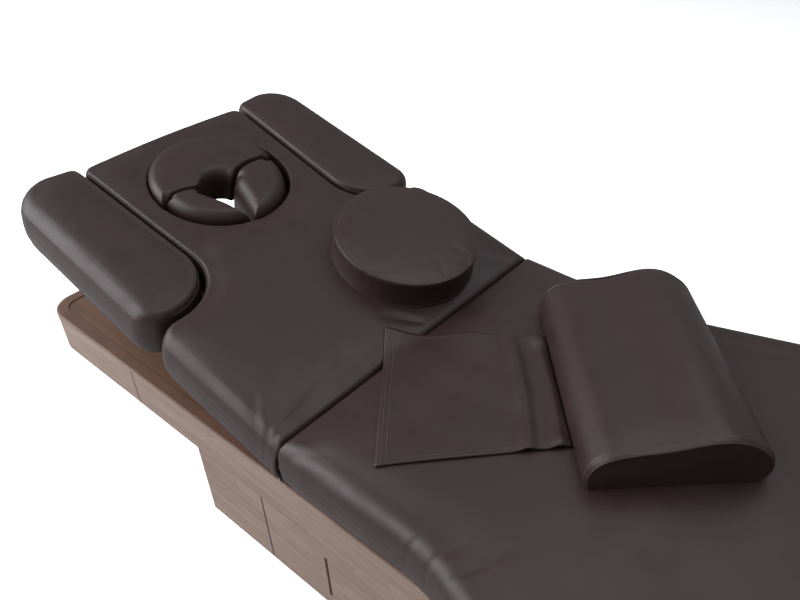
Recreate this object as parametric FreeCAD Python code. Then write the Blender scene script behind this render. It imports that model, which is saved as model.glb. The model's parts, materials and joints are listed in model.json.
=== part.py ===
import FreeCAD, Part

import math
import os

from FreeCAD import Vector as V

# Spa bed with a wooden cabinet base, in millimetres.
# +X runs from the head to the foot, -Y is the near side, +Z is up.
# The origin lies on the floor under the hinge of the backrest, on the centre line.

# Lying surface
TOP_Z = 430.0
PAD_HEIGHT = 110.0
HALF_WIDTH = 400.0
BACK_LENGTH = 856.0
LEG_LENGTH = 1215.0
HIP_HALF_WIDTH = 518.0
REST_TILT_DEG = 14.0

# Pad edges
EDGE_ROLL = 34.0
EDGE_TUCK = 14.0
TUCK_SHARES = ((0.0, 1.0), (0.09, 0.5), (0.27, 0.1), (0.5, 0.0))
ROLL_SHARES = ((0.72, 0.05), (0.84, 0.18), (0.93, 0.42), (0.985, 0.72), (1.0, 1.0))
PAD_CORNER_R = 45.0
MIN_CORNER_R = 1.5
MAX_ARC_SHARE = 0.98
SEAM_GAP = 3.0
SEAM_ROLL_SHARE = 0.25
END_ROLL_SHARE = 0.5

# Boards under the pads
BOARD_T = 18.0
BOARD_INSET = 30.0

# Backrest hinge
AXIS_DROP = 18.0
NOSE_GAP = 0.6
RUN_GAP = 0.05
LOOSE_GAP = 0.3
PIN_R = 5.0
LEAF_T = 6.0
LEAF_HALF = 10.0
LEAF_Y = 188.0
LEAF_SIDE_GAP = 1.0
POCKET_GAP = 2.0

# Backrest outline
HEAD_BOW = 12.0
HEAD_BOW_R = 3000.0
HEAD_CORNER_R = 30.0
NECK_HALF_HEAD = 228.0
NECK_HALF_FOOT = 204.0
SHOULDER_S = 342.0
SHOULDER_R = 120.0

# Arm rests
ARM_RISE = 4.0
ARM_FOOT_GAP = 12.0
ARM_HEAD_OVER = 28.0
ARM_INNER_OVER = 8.0
ARM_INNER_R = 116.0
ARM_FOOT_R = 55.0
ARM_HEAD_R = 92.0
ARM_TRAVEL = 75.0
ROD_R = 8.0
ROD_Y = 180.0
ROD_FOOT_S = 400.0
ROD_HEAD_S = 520.0
ROD_OVER = 3.0
BRACKET_T = 10.0
BRACKET_HALF_X = 18.0
BRACKET_Y_IN = 166.0
BRACKET_Y_OUT = 262.0
BRACKET_CLEAR = 1.0

# Face rest
FACE_S = 633.0
RECESS_R = 165.0
RING_T = 12.0
RING_GAP = 1.5
PLATE_T = 6.0
FACE_PAD_R = 158.0
FACE_PAD_RISE = 10.0
FACE_HOLE_HALF_X = 72.0
FACE_HOLE_HALF_Y = 50.0
FACE_HOLE_SHIFT = 32.0
FACE_SLOT_HALF = 9.0
FACE_SEAM_HALF = 1.5
FACE_SEAM_SHIFT = 4.0
FACE_ROUND_TOP = 16.0
FACE_ROUND_HOLE = 12.0
FACE_ROUND_LOW = 5.0
BREATH_HALF_X = 84.0
BREATH_HALF_Y = 60.0

# Round cushion
ROUND_S = 174.0
ROUND_Y = 149.0
ROUND_R = 165.0
ROUND_HEIGHT = 74.0
ROUND_CROWN = 8.0
ROUND_EDGE = 9.0
ROUND_WAIST = 3.0
ROUND_FILLET_SHARE = 0.8

# Neck pillow and its flap
PILLOW_NEAR_X = 500.0
PILLOW_NEAR_Y = -145.0
PILLOW_LENGTH = 484.0
PILLOW_WIDTH = 320.0
PILLOW_HEIGHT = 116.0
PILLOW_TURN_DEG = 132.7
PILLOW_END_DRAW = 12.0
PILLOW_END_SHARE = 0.94
PILLOW_FOOT = 7.0
PILLOW_PROFILE_SHARES = (
    (0.0, 0.07), (-0.012, 0.36), (0.03, 0.61), (0.13, 0.77), (0.30, 0.81), (0.46, 0.87),
    (0.60, 0.97), (0.71, 1.0), (0.82, 0.92), (0.92, 0.73), (0.985, 0.46), (0.975, 0.22), (0.93, 0.09),
)
FLAP_T = 3.0
FLAP_HEAD_X = -39.0
FLAP_HEAD_Y = -46.0
FLAP_NEAR_X = 197.0
FLAP_NEAR_Y = -327.0
FLAP_FOOT_X = 432.0
FLAP_FOOT_Y = -80.0
FLAP_FAR_X = 232.0
FLAP_FAR_Y = 134.0
FLAP_CORNER_R = 4.0
FLAP_SEAT = 0.3

# Leg pad outline, as a table of named shares of the leg length and the half widths
LEG_FLARE_SHARE = 0.295
LEG_HIP_SHARE = 0.585
LEG_CALF_SHARE = 0.71
LEG_ANKLE_SHARE = 0.92
LEG_ANKLE_WIDTH_SHARE = 0.82
LEG_TOE_WIDTH_SHARE = 0.55
LEG_FLARE_R = 400.0
LEG_HIP_R = 500.0
LEG_CALF_R = 400.0
LEG_ANKLE_R = 250.0
LEG_TOE_R = 150.0
END_OVERRUN = 60.0

# Cabinet box
CABINET_HALF = 390.0
BOX_TOP_Z = 310.0
BOX_FLOOR_Z = 206.0
BOX_HEAD_X = -865.0
BOX_FOOT_X = 1150.0
PANEL_T = 19.0
FLOOR_T = 18.0
BOX_CORNER_R = 60.0
END_PIECE = 362.0
PANEL_SEAM = 0.8
RIM_T = 8.0
RIM_W = 24.0
EDGE_STRIP = 4.0
GROOVE = 1.0
DECK_T = 12.0
DECK_SINK = 2.0
WELL_HEAD_X = -560.0
WELL_FOOT_X = 1010.0
WELL_HALF = 250.0
WEB_T = 18.0
HEAD_WEB_Y = 120.0

# Plinth
PLINTH_HEAD_X = -297.0
PLINTH_FOOT_X = 875.0
PLINTH_CORNER_R = 12.0
PLINTH_LIFT = 5.0
SKID_T = 8.0
SKID_INSET = 24.0
DRAWER_W = 370.0
BAY_HEAD_X = -81.0
SPINE_Y = 100.0
SPINE_T = 12.0

# Drawers
FRONT_GAP = 1.5
SLOT_HALF = 4.0
SLOT_LENGTH = 130.0
SLOT_TOP_DROP = 38.0
TRAY_WALL = 12.0
TRAY_BASE = 8.0
TRAY_LOW = 24.0
TRAY_TOP_DROP = 18.0
TRAY_BACK_GAP = 6.0
SLIDE_SPACE = 13.0
SLIDE_FIXED = 6.0
SLIDE_MOVING = 6.7
SLIDE_H = 20.0
SLIDE_Z = 96.0
SLIDE_END = 10.0

# Lift columns
COLUMN_HEAD_X = 130.0
COLUMN_FOOT_X = 560.0
COLUMN_X = 100.0
COLUMN_Y = 150.0
COLUMN_WALL = 4.0
COLUMN_GAP = 0.5
COLUMN_LENGTH = 264.0
COLUMN_STEP = 8.0
COLUMN_HOLE_GAP = 1.0
MOTOR_LENGTH = 110.0
MOTOR_HALF = 32.0
MOTOR_H = 64.0
MOTOR_EDGE_R = 8.0

# Chassis
RAIL_HALF_GAP = 135.0
RAIL_W = 30.0
RAIL_H = 30.0
RAIL_FRONT_X = 20.0
RAIL_BACK_X = 1000.0
NOSE_H = 11.0
BAR_T = 7.0
BAR_HALF_Y = 385.0
BAR_BACK_X = -22.0
BAR_FRONT_X = 15.0
BAR_DROP = 2.5
CAP_T = 14.0
CAP_OVER = 10.0
CROSS_H = 19.0
CROSS_FRONT_X = 205.0
CROSS_MID_X = 400.0
CROSS_BACK_X = 970.0
BAR_SCREW_R = 3.4
BAR_SCREW_T = 3.0

# Backrest drive
LEVER_REACH = 150.0
LEVER_FLAT_DEG = -30.0
LEVER_T = 10.0
LEVER_HALF = 10.0
DRIVE_Y = 108.0
DRIVE_Z = 262.0
DRIVE_R = 20.0
DRIVE_FRONT_X = 110.0
DRIVE_BACK_X = 500.0
DRIVE_MOTOR_L = 70.0
DRIVE_MOTOR_HALF = 16.0
DRIVE_MOTOR_DROP = 10.0
SHAFT_R = 9.0
SHAFT_GAP = 0.3
SHAFT_LENGTH = 190.0
BORE_DEPTH = 195.0
FORK_CHEEK = 6.0
FORK_GAP = 1.5
FORK_WALL = 6.0
FORK_BLOCK = 14.0
CROSS_PIN_R = 6.0
CROSS_PIN_SLACK = 3.5
CROSS_PIN_OVER = 1.0
CLAMP_T = 20.0
CLAMP_WALL = 5.0

# Backrest frame
BACK_TUBE = 30.0
BACK_RAIL_Y = 120.0
BACK_FRONT_X = -45.0
BACK_HEAD_X = -520.0

# Electrics
CONTROL_SIZE = (140.0, 120.0, 50.0)
CONTROL_X = -262.0
CONTROL_Y = -60.0
CONTROL_EDGE_R = 5.0
INLET_FLANGE = (3.0, 50.0, 28.0)
INLET_BODY = (26.0, 44.0, 22.0)
INLET_Y = -220.0
INLET_Z = 62.0
INLET_PIN_RECESS = 14.0
INLET_RIM = 4.0

# Values that follow from the sizes above
CUT_OVER = 5.0
PAD_LOW_Z = TOP_Z - PAD_HEIGHT
AXIS_Z = TOP_Z - AXIS_DROP
BOARD_TOP_Z = PAD_LOW_Z + BOARD_T
FLOOR_TOP_Z = BOX_FLOOR_Z + FLOOR_T
RIM_LOW_Z = BOX_TOP_Z - RIM_T
DECK_TOP_Z = BOX_TOP_Z - DECK_SINK
DECK_LOW_Z = DECK_TOP_Z - DECK_T
PLINTH_FLOOR_TOP = SKID_T + FLOOR_T
INNER_HALF = CABINET_HALF - PANEL_T
BAY_FOOT_X = BAY_HEAD_X + DRAWER_W + DRAWER_W
BAY_MID_X = BAY_HEAD_X + DRAWER_W
BAR_TOP_Z = PAD_LOW_Z - BAR_DROP
BAR_LOW_Z = BAR_TOP_Z - BAR_T
RAIL_LOW_Z = PAD_LOW_Z - RAIL_H
REST_TILT = math.radians(REST_TILT_DEG)
ROD_STATIONS = (ROD_FOOT_S, ROD_HEAD_S)
RIB_STATIONS = (PLINTH_HEAD_X, 0.5 * (PLINTH_HEAD_X + PLINTH_FOOT_X), PLINTH_FOOT_X)
COLUMN_STATIONS = (COLUMN_HEAD_X, COLUMN_FOOT_X)
CROSS_STATIONS = (CROSS_FRONT_X, CROSS_MID_X, CROSS_BACK_X)
FLAP_CORNERS = (
    (FLAP_HEAD_X, FLAP_HEAD_Y), (FLAP_NEAR_X, FLAP_NEAR_Y),
    (FLAP_FOOT_X, FLAP_FOOT_Y), (FLAP_FAR_X, FLAP_FAR_Y),
)


def box(x0, x1, y0, y1, z0, z1):
    """Box between two corners, given in any order."""
    low = V(min(x0, x1), min(y0, y1), min(z0, z1))
    return Part.makeBox(abs(x1 - x0), abs(y1 - y0), abs(z1 - z0), low)


def cylinder(radius, start, end):
    """Round bar from one point to another."""
    way = end - start
    return Part.makeCylinder(radius, way.Length, start, way)


def group(shapes):
    """Separate solids kept in one node."""
    return Part.makeCompound(shapes)


def fuse(shapes):
    """One solid out of touching solids."""
    first = shapes[0]
    return first.multiFuse(shapes[1:]).removeSplitter()


def mirror_y(shape):
    """The same shape on the other side of the centre line."""
    return shape.mirror(V(0, 0, 0), V(0, 1, 0))


def tilt(shape):
    """Turn a piece of the backrest from flat to its rest pose about the hinge."""
    turned = shape.copy()
    turned.rotate(V(0, 0, AXIS_Z), V(0, 1, 0), REST_TILT_DEG)
    return turned


def arc_edge(start, middle, end):
    """Arc through three points."""
    return Part.Arc(start, middle, end).toShape()


def line_edge(start, end):
    """Straight edge between two points."""
    return Part.LineSegment(start, end).toShape()


def offset_corner(before, corner, after, inset_in, inset_out):
    """Corner of an outline after its two sides move inwards by their own insets."""
    d1 = (corner - before).normalize()
    d2 = (after - corner).normalize()
    n1 = V(-d1.y, d1.x, 0)
    n2 = V(-d2.y, d2.x, 0)
    cross = d1.x * d2.y - d1.y * d2.x
    a = n1 * inset_in
    b = n2 * inset_out
    along = ((b.x - a.x) * d2.y - (b.y - a.y) * d2.x) / cross
    return corner + a + d1 * along


def corner_reaches(points, radii):
    """Length that each corner's arc takes of its sides, scaled back where two arcs would meet."""
    count = len(points)
    wanted = []
    for i in range(count):
        turn = (points[i] - points[i - 1]).getAngle(points[(i + 1) % count] - points[i])
        wanted.append(radii[i] * math.tan(0.5 * turn))
    reaches = list(wanted)
    for i in range(count):
        after = (i + 1) % count
        room = MAX_ARC_SHARE * (points[after] - points[i]).Length
        both = wanted[i] + wanted[after]
        if both > room:
            reaches[i] = min(reaches[i], wanted[i] * room / both)
            reaches[after] = min(reaches[after], wanted[after] * room / both)
    return reaches


def rounded_wire(outline, z, inset=0.0):
    """Closed wire of lines and arcs.

    The outline lists (x, y, corner radius, share), anticlockwise, where share is
    the part of the inset that the side leaving that corner takes.
    """
    count = len(outline)
    points = [V(x, y, 0) for x, y, radius, share in outline]
    moved = []
    radii = []
    for i in range(count):
        before = points[i - 1]
        after = points[(i + 1) % count]
        inset_in = inset * outline[i - 1][3]
        inset_out = inset * outline[i][3]
        moved.append(offset_corner(before, points[i], after, inset_in, inset_out))
        d1 = points[i] - before
        d2 = after - points[i]
        convex = d1.x * d2.y - d1.y * d2.x > 0
        mean = 0.5 * (inset_in + inset_out)
        radius = outline[i][2] - mean if convex else outline[i][2] + mean
        radii.append(max(radius, MIN_CORNER_R))
    reaches = corner_reaches(moved, radii)
    starts = []
    mids = []
    ends = []
    for i in range(count):
        d1 = (moved[i] - moved[i - 1]).normalize()
        d2 = (moved[(i + 1) % count] - moved[i]).normalize()
        turn = d1.getAngle(d2)
        reach = reaches[i]
        radii[i] = reach / math.tan(0.5 * turn)
        inward = (d2 - d1).normalize()
        centre = moved[i] + inward * (radii[i] / math.cos(0.5 * turn))
        starts.append(moved[i] - d1 * reach)
        ends.append(moved[i] + d2 * reach)
        mids.append(centre - inward * radii[i])
    lift = V(0, 0, z)
    edges = []
    for i in range(count):
        edges.append(arc_edge(starts[i] + lift, mids[i] + lift, ends[i] + lift))
        edges.append(line_edge(ends[i] + lift, starts[(i + 1) % count] + lift))
    return Part.Wire(edges)


def plate(outline, z0, z1, inset=0.0):
    """Flat board with the outline's shape between two heights."""
    face = Part.Face(rounded_wire(outline, z0, inset))
    return face.extrude(V(0, 0, z1 - z0))


def pad(outline, low_z, height):
    """Cushion with a tucked-in lower edge, bulging sides and a rolled, crowned top edge."""
    wires = []
    for level, share in TUCK_SHARES:
        wires.append(rounded_wire(outline, low_z + level * height, share * EDGE_TUCK))
    for level, share in ROLL_SHARES:
        wires.append(rounded_wire(outline, low_z + level * height, share * EDGE_ROLL))
    return Part.makeLoft(wires, True, True)


def side_prism(points, y0, y1):
    """Prism across the bed from an outline of (x, z) points."""
    wire = Part.makePolygon([V(x, y0, z) for x, z in points + points[:1]])
    return Part.Face(wire).extrude(V(0, y1 - y0, 0))


def oval(centre_x, half_x, half_y, z0, z1):
    """Upright oval plug, longer along the bed than across it."""
    straight = half_x - half_y
    block = box(centre_x - straight, centre_x + straight, -half_y, half_y, z0, z1)
    ends = [
        cylinder(half_y, V(centre_x + side * straight, 0, z0), V(centre_x + side * straight, 0, z1))
        for side in (-1, 1)
    ]
    return fuse([block] + ends)


def back_outline():
    """Outline of the middle backrest pad, flat, anticlockwise."""
    near = [
        (END_OVERRUN, -HALF_WIDTH, PAD_CORNER_R, 0.0),
    ]
    far = [
        (END_OVERRUN, HALF_WIDTH, PAD_CORNER_R, 1.0),
        (-SHOULDER_S, HALF_WIDTH, PAD_CORNER_R, SEAM_ROLL_SHARE),
        (-SHOULDER_S, NECK_HALF_FOOT, SHOULDER_R, SEAM_ROLL_SHARE),
        (-BACK_LENGTH, NECK_HALF_HEAD, HEAD_CORNER_R, END_ROLL_SHARE),
        (-BACK_LENGTH - HEAD_BOW, 0.0, HEAD_BOW_R, END_ROLL_SHARE),
        (-BACK_LENGTH, -NECK_HALF_HEAD, HEAD_CORNER_R, SEAM_ROLL_SHARE),
        (-SHOULDER_S, -NECK_HALF_FOOT, SHOULDER_R, SEAM_ROLL_SHARE),
        (-SHOULDER_S, -HALF_WIDTH, PAD_CORNER_R, 1.0),
    ]
    return near + far


def arm_outline():
    """Outline of the far arm rest pad, flat, anticlockwise."""
    foot_x = -SHOULDER_S - ARM_FOOT_GAP
    head_x = -BACK_LENGTH - ARM_HEAD_OVER
    inner_head_x = -BACK_LENGTH - ARM_INNER_OVER
    inner_foot_y = NECK_HALF_FOOT + SEAM_GAP
    inner_head_y = NECK_HALF_HEAD + SEAM_GAP
    return [
        (foot_x, inner_foot_y, ARM_INNER_R, END_ROLL_SHARE),
        (foot_x, HALF_WIDTH + ARM_RISE, ARM_FOOT_R, 1.0),
        (head_x, HALF_WIDTH, ARM_HEAD_R, END_ROLL_SHARE),
        (inner_head_x, inner_head_y, HEAD_CORNER_R, SEAM_ROLL_SHARE),
    ]


def leg_outline():
    """Outline of the leg pad, anticlockwise; its hinge end is trimmed later."""
    far = [
        (LEG_LENGTH, HIP_HALF_WIDTH * LEG_TOE_WIDTH_SHARE, LEG_TOE_R, 1.0),
        (LEG_LENGTH * LEG_ANKLE_SHARE, HIP_HALF_WIDTH * LEG_ANKLE_WIDTH_SHARE, LEG_ANKLE_R, 1.0),
        (LEG_LENGTH * LEG_CALF_SHARE, HIP_HALF_WIDTH, LEG_CALF_R, 1.0),
        (LEG_LENGTH * LEG_HIP_SHARE, HIP_HALF_WIDTH, LEG_HIP_R, 1.0),
        (LEG_LENGTH * LEG_FLARE_SHARE, HALF_WIDTH, LEG_FLARE_R, 1.0),
        (-END_OVERRUN, HALF_WIDTH, PAD_CORNER_R, 0.0),
    ]
    near = [
        (-END_OVERRUN, -HALF_WIDTH, PAD_CORNER_R, 1.0),
    ]
    for x, y, radius, share in reversed(far[:-1]):
        near.append((x, -y, radius, share))
    return near + far


def cabinet_outline():
    """Plan outline of the cabinet box, anticlockwise."""
    return [
        (BOX_HEAD_X, -CABINET_HALF, BOX_CORNER_R, 1.0),
        (BOX_FOOT_X, -CABINET_HALF, BOX_CORNER_R, 1.0),
        (BOX_FOOT_X, CABINET_HALF, BOX_CORNER_R, 1.0),
        (BOX_HEAD_X, CABINET_HALF, BOX_CORNER_R, 1.0),
    ]


def nose_limit(side):
    """Space that a pad may fill up to its rounded nose at the hinge crease.

    The backrest's nose (side -1) is round about the hinge axis itself, so it keeps
    its place while the backrest turns. The leg pad's nose (side 1) faces it.
    """
    far_x = side * (LEG_LENGTH + BACK_LENGTH)
    low_z = PAD_LOW_Z - CUT_OVER
    high_z = TOP_Z + PAD_HEIGHT
    if side < 0:
        centre_x = 0.0
        face_x = AXIS_DROP
    else:
        centre_x = AXIS_DROP + NOSE_GAP + AXIS_DROP
        face_x = centre_x - AXIS_DROP
    start = -HIP_HALF_WIDTH - END_OVERRUN
    block = box(far_x, face_x, start, -start, low_z, AXIS_Z)
    upper = box(far_x, centre_x, start, -start, AXIS_Z, high_z)
    nose = cylinder(AXIS_DROP, V(centre_x, start, AXIS_Z), V(centre_x, -start, AXIS_Z))
    return fuse([block, upper, nose])


def leaf_sides():
    """Signs of the two hinge leaves across the bed."""
    return (-1, 1)


def moving_leaf_points(grow=0.0):
    """Side view of the moving hinge leaf, flat, from the axis down to the frame."""
    tube_back = BACK_FRONT_X - BACK_TUBE
    return [
        (LEAF_HALF + grow, AXIS_Z),
        (BACK_FRONT_X + grow, PAD_LOW_Z - BACK_TUBE),
        (tube_back - grow, PAD_LOW_Z - BACK_TUBE),
        (tube_back - grow, PAD_LOW_Z),
        (-LEAF_HALF - grow, AXIS_Z + grow),
    ]


def moving_leaf(side, grow=0.0):
    """Hinge leaf that turns with the backrest, or the pocket it lies in."""
    inner = LEAF_Y + LEAF_T + LEAF_SIDE_GAP
    y0 = side * (inner - grow)
    y1 = side * (inner + LEAF_T + grow)
    bar = side_prism(moving_leaf_points(grow), y0, y1)
    eye = cylinder(LEAF_HALF + grow, V(0, y0, AXIS_Z), V(0, y1, AXIS_Z))
    return fuse([bar, eye])


def hinge_pocket(side):
    """Pocket in the backrest for the fixed and the moving leaf."""
    y0 = side * (LEAF_Y - POCKET_GAP)
    y1 = side * (LEAF_Y + LEAF_T + LEAF_SIDE_GAP + LEAF_T + POCKET_GAP)
    half = LEAF_HALF + POCKET_GAP
    slot = box(-half, END_OVERRUN, y0, y1, PAD_LOW_Z - CUT_OVER, AXIS_Z)
    eye = cylinder(half, V(0, y0, AXIS_Z), V(0, y1, AXIS_Z))
    front = box(0, END_OVERRUN, y0, y1, AXIS_Z, AXIS_Z + half)
    return fuse([slot, eye, front, moving_leaf(side, LOOSE_GAP)])


def build_back_board():
    """Plywood under the middle backrest pad, with the breathing hole and the rod holes."""
    board = plate(back_outline(), PAD_LOW_Z, BOARD_TOP_Z, BOARD_INSET)
    limit = box(-BACK_LENGTH - END_OVERRUN, -LEAF_HALF - POCKET_GAP, -HALF_WIDTH, HALF_WIDTH,
                PAD_LOW_Z, BOARD_TOP_Z)
    board = board.common(limit)
    hole = oval(-FACE_S, BREATH_HALF_X, BREATH_HALF_Y, PAD_LOW_Z - CUT_OVER, TOP_Z)
    cuts = [hole]
    for side in leaf_sides():
        cuts.append(moving_leaf(side, LOOSE_GAP))
        for station in ROD_STATIONS:
            foot = V(-station, side * ROD_Y, PAD_LOW_Z - CUT_OVER)
            cuts.append(cylinder(ROD_R, foot, V(-station, side * ROD_Y, TOP_Z)))
    return board.cut(cuts)


def build_back_pad(board_space):
    """Middle backrest pad with the round recess for the face rest."""
    body = pad(back_outline(), PAD_LOW_Z, PAD_HEIGHT).common(nose_limit(-1))
    recess = cylinder(RECESS_R, V(-FACE_S, 0, PAD_LOW_Z - CUT_OVER), V(-FACE_S, 0, TOP_Z + PAD_HEIGHT))
    cuts = [recess, board_space] + [hinge_pocket(side) for side in leaf_sides()]
    return body.cut(cuts)


def build_board_space():
    """Room that the back board fills inside its pad."""
    space = plate(back_outline(), PAD_LOW_Z - CUT_OVER, BOARD_TOP_Z, BOARD_INSET)
    limit = box(-BACK_LENGTH - END_OVERRUN, -LEAF_HALF - POCKET_GAP, -HALF_WIDTH, HALF_WIDTH,
                PAD_LOW_Z - CUT_OVER, BOARD_TOP_Z)
    return space.common(limit)


def build_back_frame():
    """Steel frame under the backrest: two rails, three cross tubes and the drive lever."""
    low = PAD_LOW_Z - BACK_TUBE
    leaf_y = LEAF_Y + LEAF_T + LEAF_SIDE_GAP
    parts = [box(BACK_FRONT_X - BACK_TUBE, BACK_FRONT_X, -leaf_y, leaf_y, low, PAD_LOW_Z)]
    for side in (-1, 1):
        y0 = side * BACK_RAIL_Y
        y1 = side * (BACK_RAIL_Y + BACK_TUBE)
        parts.append(box(BACK_HEAD_X, BACK_FRONT_X - BACK_TUBE, y0, y1, low, PAD_LOW_Z))
    for share in (0.0, 0.5):
        x0 = BACK_HEAD_X * (1.0 - share) + BACK_FRONT_X * share
        parts.append(box(x0, x0 + BACK_TUBE, -BACK_RAIL_Y, BACK_RAIL_Y, low, PAD_LOW_Z))
    return fuse(parts)


def lever_tip():
    """Place of the drive's cross pin on the lever, flat."""
    angle = math.radians(LEVER_FLAT_DEG)
    return V(-LEVER_REACH * math.sin(angle), DRIVE_Y, AXIS_Z - LEVER_REACH * math.cos(angle))


def build_back_lever():
    """Lever that the drive pushes, with its cross pin, flat."""
    tip = lever_tip()
    tube_back = BACK_FRONT_X - BACK_TUBE
    low = PAD_LOW_Z - BACK_TUBE
    points = [
        (tube_back, low - LEVER_HALF),
        (tip.x, tip.z - LEVER_HALF),
        (tip.x, tip.z + LEVER_HALF),
        (BACK_FRONT_X, low + LEVER_HALF),
        (BACK_FRONT_X, low),
        (tube_back, low),
    ]
    y0 = DRIVE_Y - 0.5 * LEVER_T
    y1 = DRIVE_Y + 0.5 * LEVER_T
    bar = side_prism(points, y0, y1)
    end = cylinder(LEVER_HALF, V(tip.x, y0, tip.z), V(tip.x, y1, tip.z))
    reach = 0.5 * LEVER_T + FORK_GAP + FORK_CHEEK + CROSS_PIN_OVER
    pin = cylinder(CROSS_PIN_R, V(tip.x, DRIVE_Y - reach, tip.z), V(tip.x, DRIVE_Y + reach, tip.z))
    return fuse([bar, end, pin])


def rest_lever_tip():
    """Place of the cross pin at rest."""
    tip = lever_tip()
    dx = tip.x
    dz = tip.z - AXIS_Z
    x = dx * math.cos(REST_TILT) + dz * math.sin(REST_TILT)
    z = AXIS_Z - dx * math.sin(REST_TILT) + dz * math.cos(REST_TILT)
    return V(x, DRIVE_Y, z)


def build_drive_rod():
    """Push rod of the backrest drive, with a slotted fork round the lever's cross pin."""
    tip = rest_lever_tip()
    slot_half = CROSS_PIN_R + CROSS_PIN_SLACK
    top_z = AXIS_Z - LEVER_REACH * math.cos(math.radians(LEVER_FLAT_DEG)) + slot_half
    low_z = AXIS_Z - LEVER_REACH - slot_half
    fork_x0 = tip.x - slot_half - FORK_WALL
    fork_x1 = tip.x + slot_half + FORK_WALL
    inner = 0.5 * LEVER_T + FORK_GAP
    outer = inner + FORK_CHEEK
    parts = []
    for side in (-1, 1):
        y0 = DRIVE_Y + side * inner
        y1 = DRIVE_Y + side * outer
        cheek = box(fork_x0, fork_x1, y0, y1, low_z - FORK_WALL, top_z + FORK_WALL)
        slot = box(tip.x - slot_half, tip.x + slot_half, y0, y1, low_z, top_z)
        parts.append(cheek.cut(slot))
    block = box(fork_x1, fork_x1 + FORK_BLOCK, DRIVE_Y - outer, DRIVE_Y + outer,
                low_z - FORK_WALL, top_z + FORK_WALL)
    parts.append(block)
    start = V(fork_x1 + FORK_BLOCK, DRIVE_Y, DRIVE_Z)
    parts.append(cylinder(SHAFT_R, start, start + V(SHAFT_LENGTH, 0, 0)))
    return fuse(parts)


def build_drive_body():
    """Housing of the backrest drive, with its bore and motor."""
    start = V(DRIVE_FRONT_X, DRIVE_Y, DRIVE_Z)
    tube = cylinder(DRIVE_R, start, V(DRIVE_BACK_X, DRIVE_Y, DRIVE_Z))
    bore = cylinder(SHAFT_R + SHAFT_GAP, start, start + V(BORE_DEPTH, 0, 0))
    motor_low = DRIVE_Z - DRIVE_R - DRIVE_MOTOR_DROP
    motor = box(DRIVE_BACK_X - DRIVE_MOTOR_L, DRIVE_BACK_X, DRIVE_Y - DRIVE_MOTOR_HALF,
                DRIVE_Y + DRIVE_MOTOR_HALF, motor_low, DRIVE_Z)
    return fuse([tube.cut(bore), motor.cut(tube)])


def build_chassis():
    """Lifting frame: rails, cross tubes, hinge bar, caps over the columns and drive clamps."""
    rail_out = RAIL_HALF_GAP + RAIL_W
    bar = box(BAR_BACK_X, BAR_FRONT_X, -BAR_HALF_Y, BAR_HALF_Y, BAR_LOW_Z, BAR_TOP_Z)
    parts = []
    for side in (-1, 1):
        y0 = side * RAIL_HALF_GAP
        y1 = side * rail_out
        parts.append(box(RAIL_FRONT_X, RAIL_BACK_X, y0, y1, RAIL_LOW_Z, PAD_LOW_Z))
        parts.append(box(BAR_BACK_X, RAIL_FRONT_X, y0, y1, BAR_LOW_Z - NOSE_H, BAR_LOW_Z))
    cross_low = PAD_LOW_Z - CROSS_H
    front = box(RAIL_FRONT_X, RAIL_FRONT_X + RAIL_W, -RAIL_HALF_GAP, RAIL_HALF_GAP, cross_low, PAD_LOW_Z)
    parts.append(front)
    for x in CROSS_STATIONS:
        parts.append(box(x, x + RAIL_W, -RAIL_HALF_GAP, RAIL_HALF_GAP, RAIL_LOW_Z, PAD_LOW_Z))
    for x in COLUMN_STATIONS:
        half = 0.5 * COLUMN_X + CAP_OVER
        parts.append(box(x - half, x + half, -RAIL_HALF_GAP, RAIL_HALF_GAP, PAD_LOW_Z - CAP_T, PAD_LOW_Z))
    frame = fuse(parts)
    clamps = []
    reach = DRIVE_R + CLAMP_WALL
    for x in CROSS_STATIONS[:2]:
        clamp = box(x, x + CLAMP_T, DRIVE_Y - reach, DRIVE_Y + reach, DRIVE_Z - reach, RAIL_LOW_Z)
        hole_end = V(x + CLAMP_T + CUT_OVER, DRIVE_Y, DRIVE_Z)
        hole = cylinder(DRIVE_R, V(x - CUT_OVER, DRIVE_Y, DRIVE_Z), hole_end)
        clamps.append(clamp.cut(hole))
    return group([bar, fuse([frame] + clamps)])


def build_bar_screws():
    """Bright screws in the two ends of the hinge bar."""
    x = 0.5 * (BAR_BACK_X + BAR_FRONT_X)
    z = 0.5 * (BAR_LOW_Z + BAR_TOP_Z)
    return group([
        cylinder(BAR_SCREW_R, V(x, side * BAR_HALF_Y, z), V(x, side * (BAR_HALF_Y + BAR_SCREW_T), z))
        for side in (-1, 1)
    ])


def build_fixed_leaves():
    """Two upright hinge leaves that stand on the hinge bar."""
    leaves = []
    for side in leaf_sides():
        y0 = side * LEAF_Y
        y1 = side * (LEAF_Y + LEAF_T)
        bar = box(-LEAF_HALF, LEAF_HALF, y0, y1, BAR_TOP_Z, AXIS_Z)
        eye = cylinder(LEAF_HALF, V(0, y0, AXIS_Z), V(0, y1, AXIS_Z))
        hole = cylinder(PIN_R, V(0, y0, AXIS_Z), V(0, y1, AXIS_Z))
        leaves.append(fuse([bar, eye]).cut(hole))
    return group(leaves)


def build_moving_leaves():
    """Two hinge leaves on the ends of the backrest frame's front tube."""
    leaves = []
    for side in leaf_sides():
        inner = LEAF_Y + LEAF_T + LEAF_SIDE_GAP
        hole = cylinder(PIN_R + RUN_GAP, V(0, side * inner, AXIS_Z), V(0, side * (inner + LEAF_T), AXIS_Z))
        leaves.append(moving_leaf(side).cut(hole))
    return group(leaves)


def build_hinge_pins():
    """Pins through both leaves of each hinge."""
    length = LEAF_T + LEAF_SIDE_GAP + LEAF_T
    return group([
        cylinder(PIN_R, V(0, side * LEAF_Y, AXIS_Z), V(0, side * (LEAF_Y + length), AXIS_Z))
        for side in leaf_sides()
    ])


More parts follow.
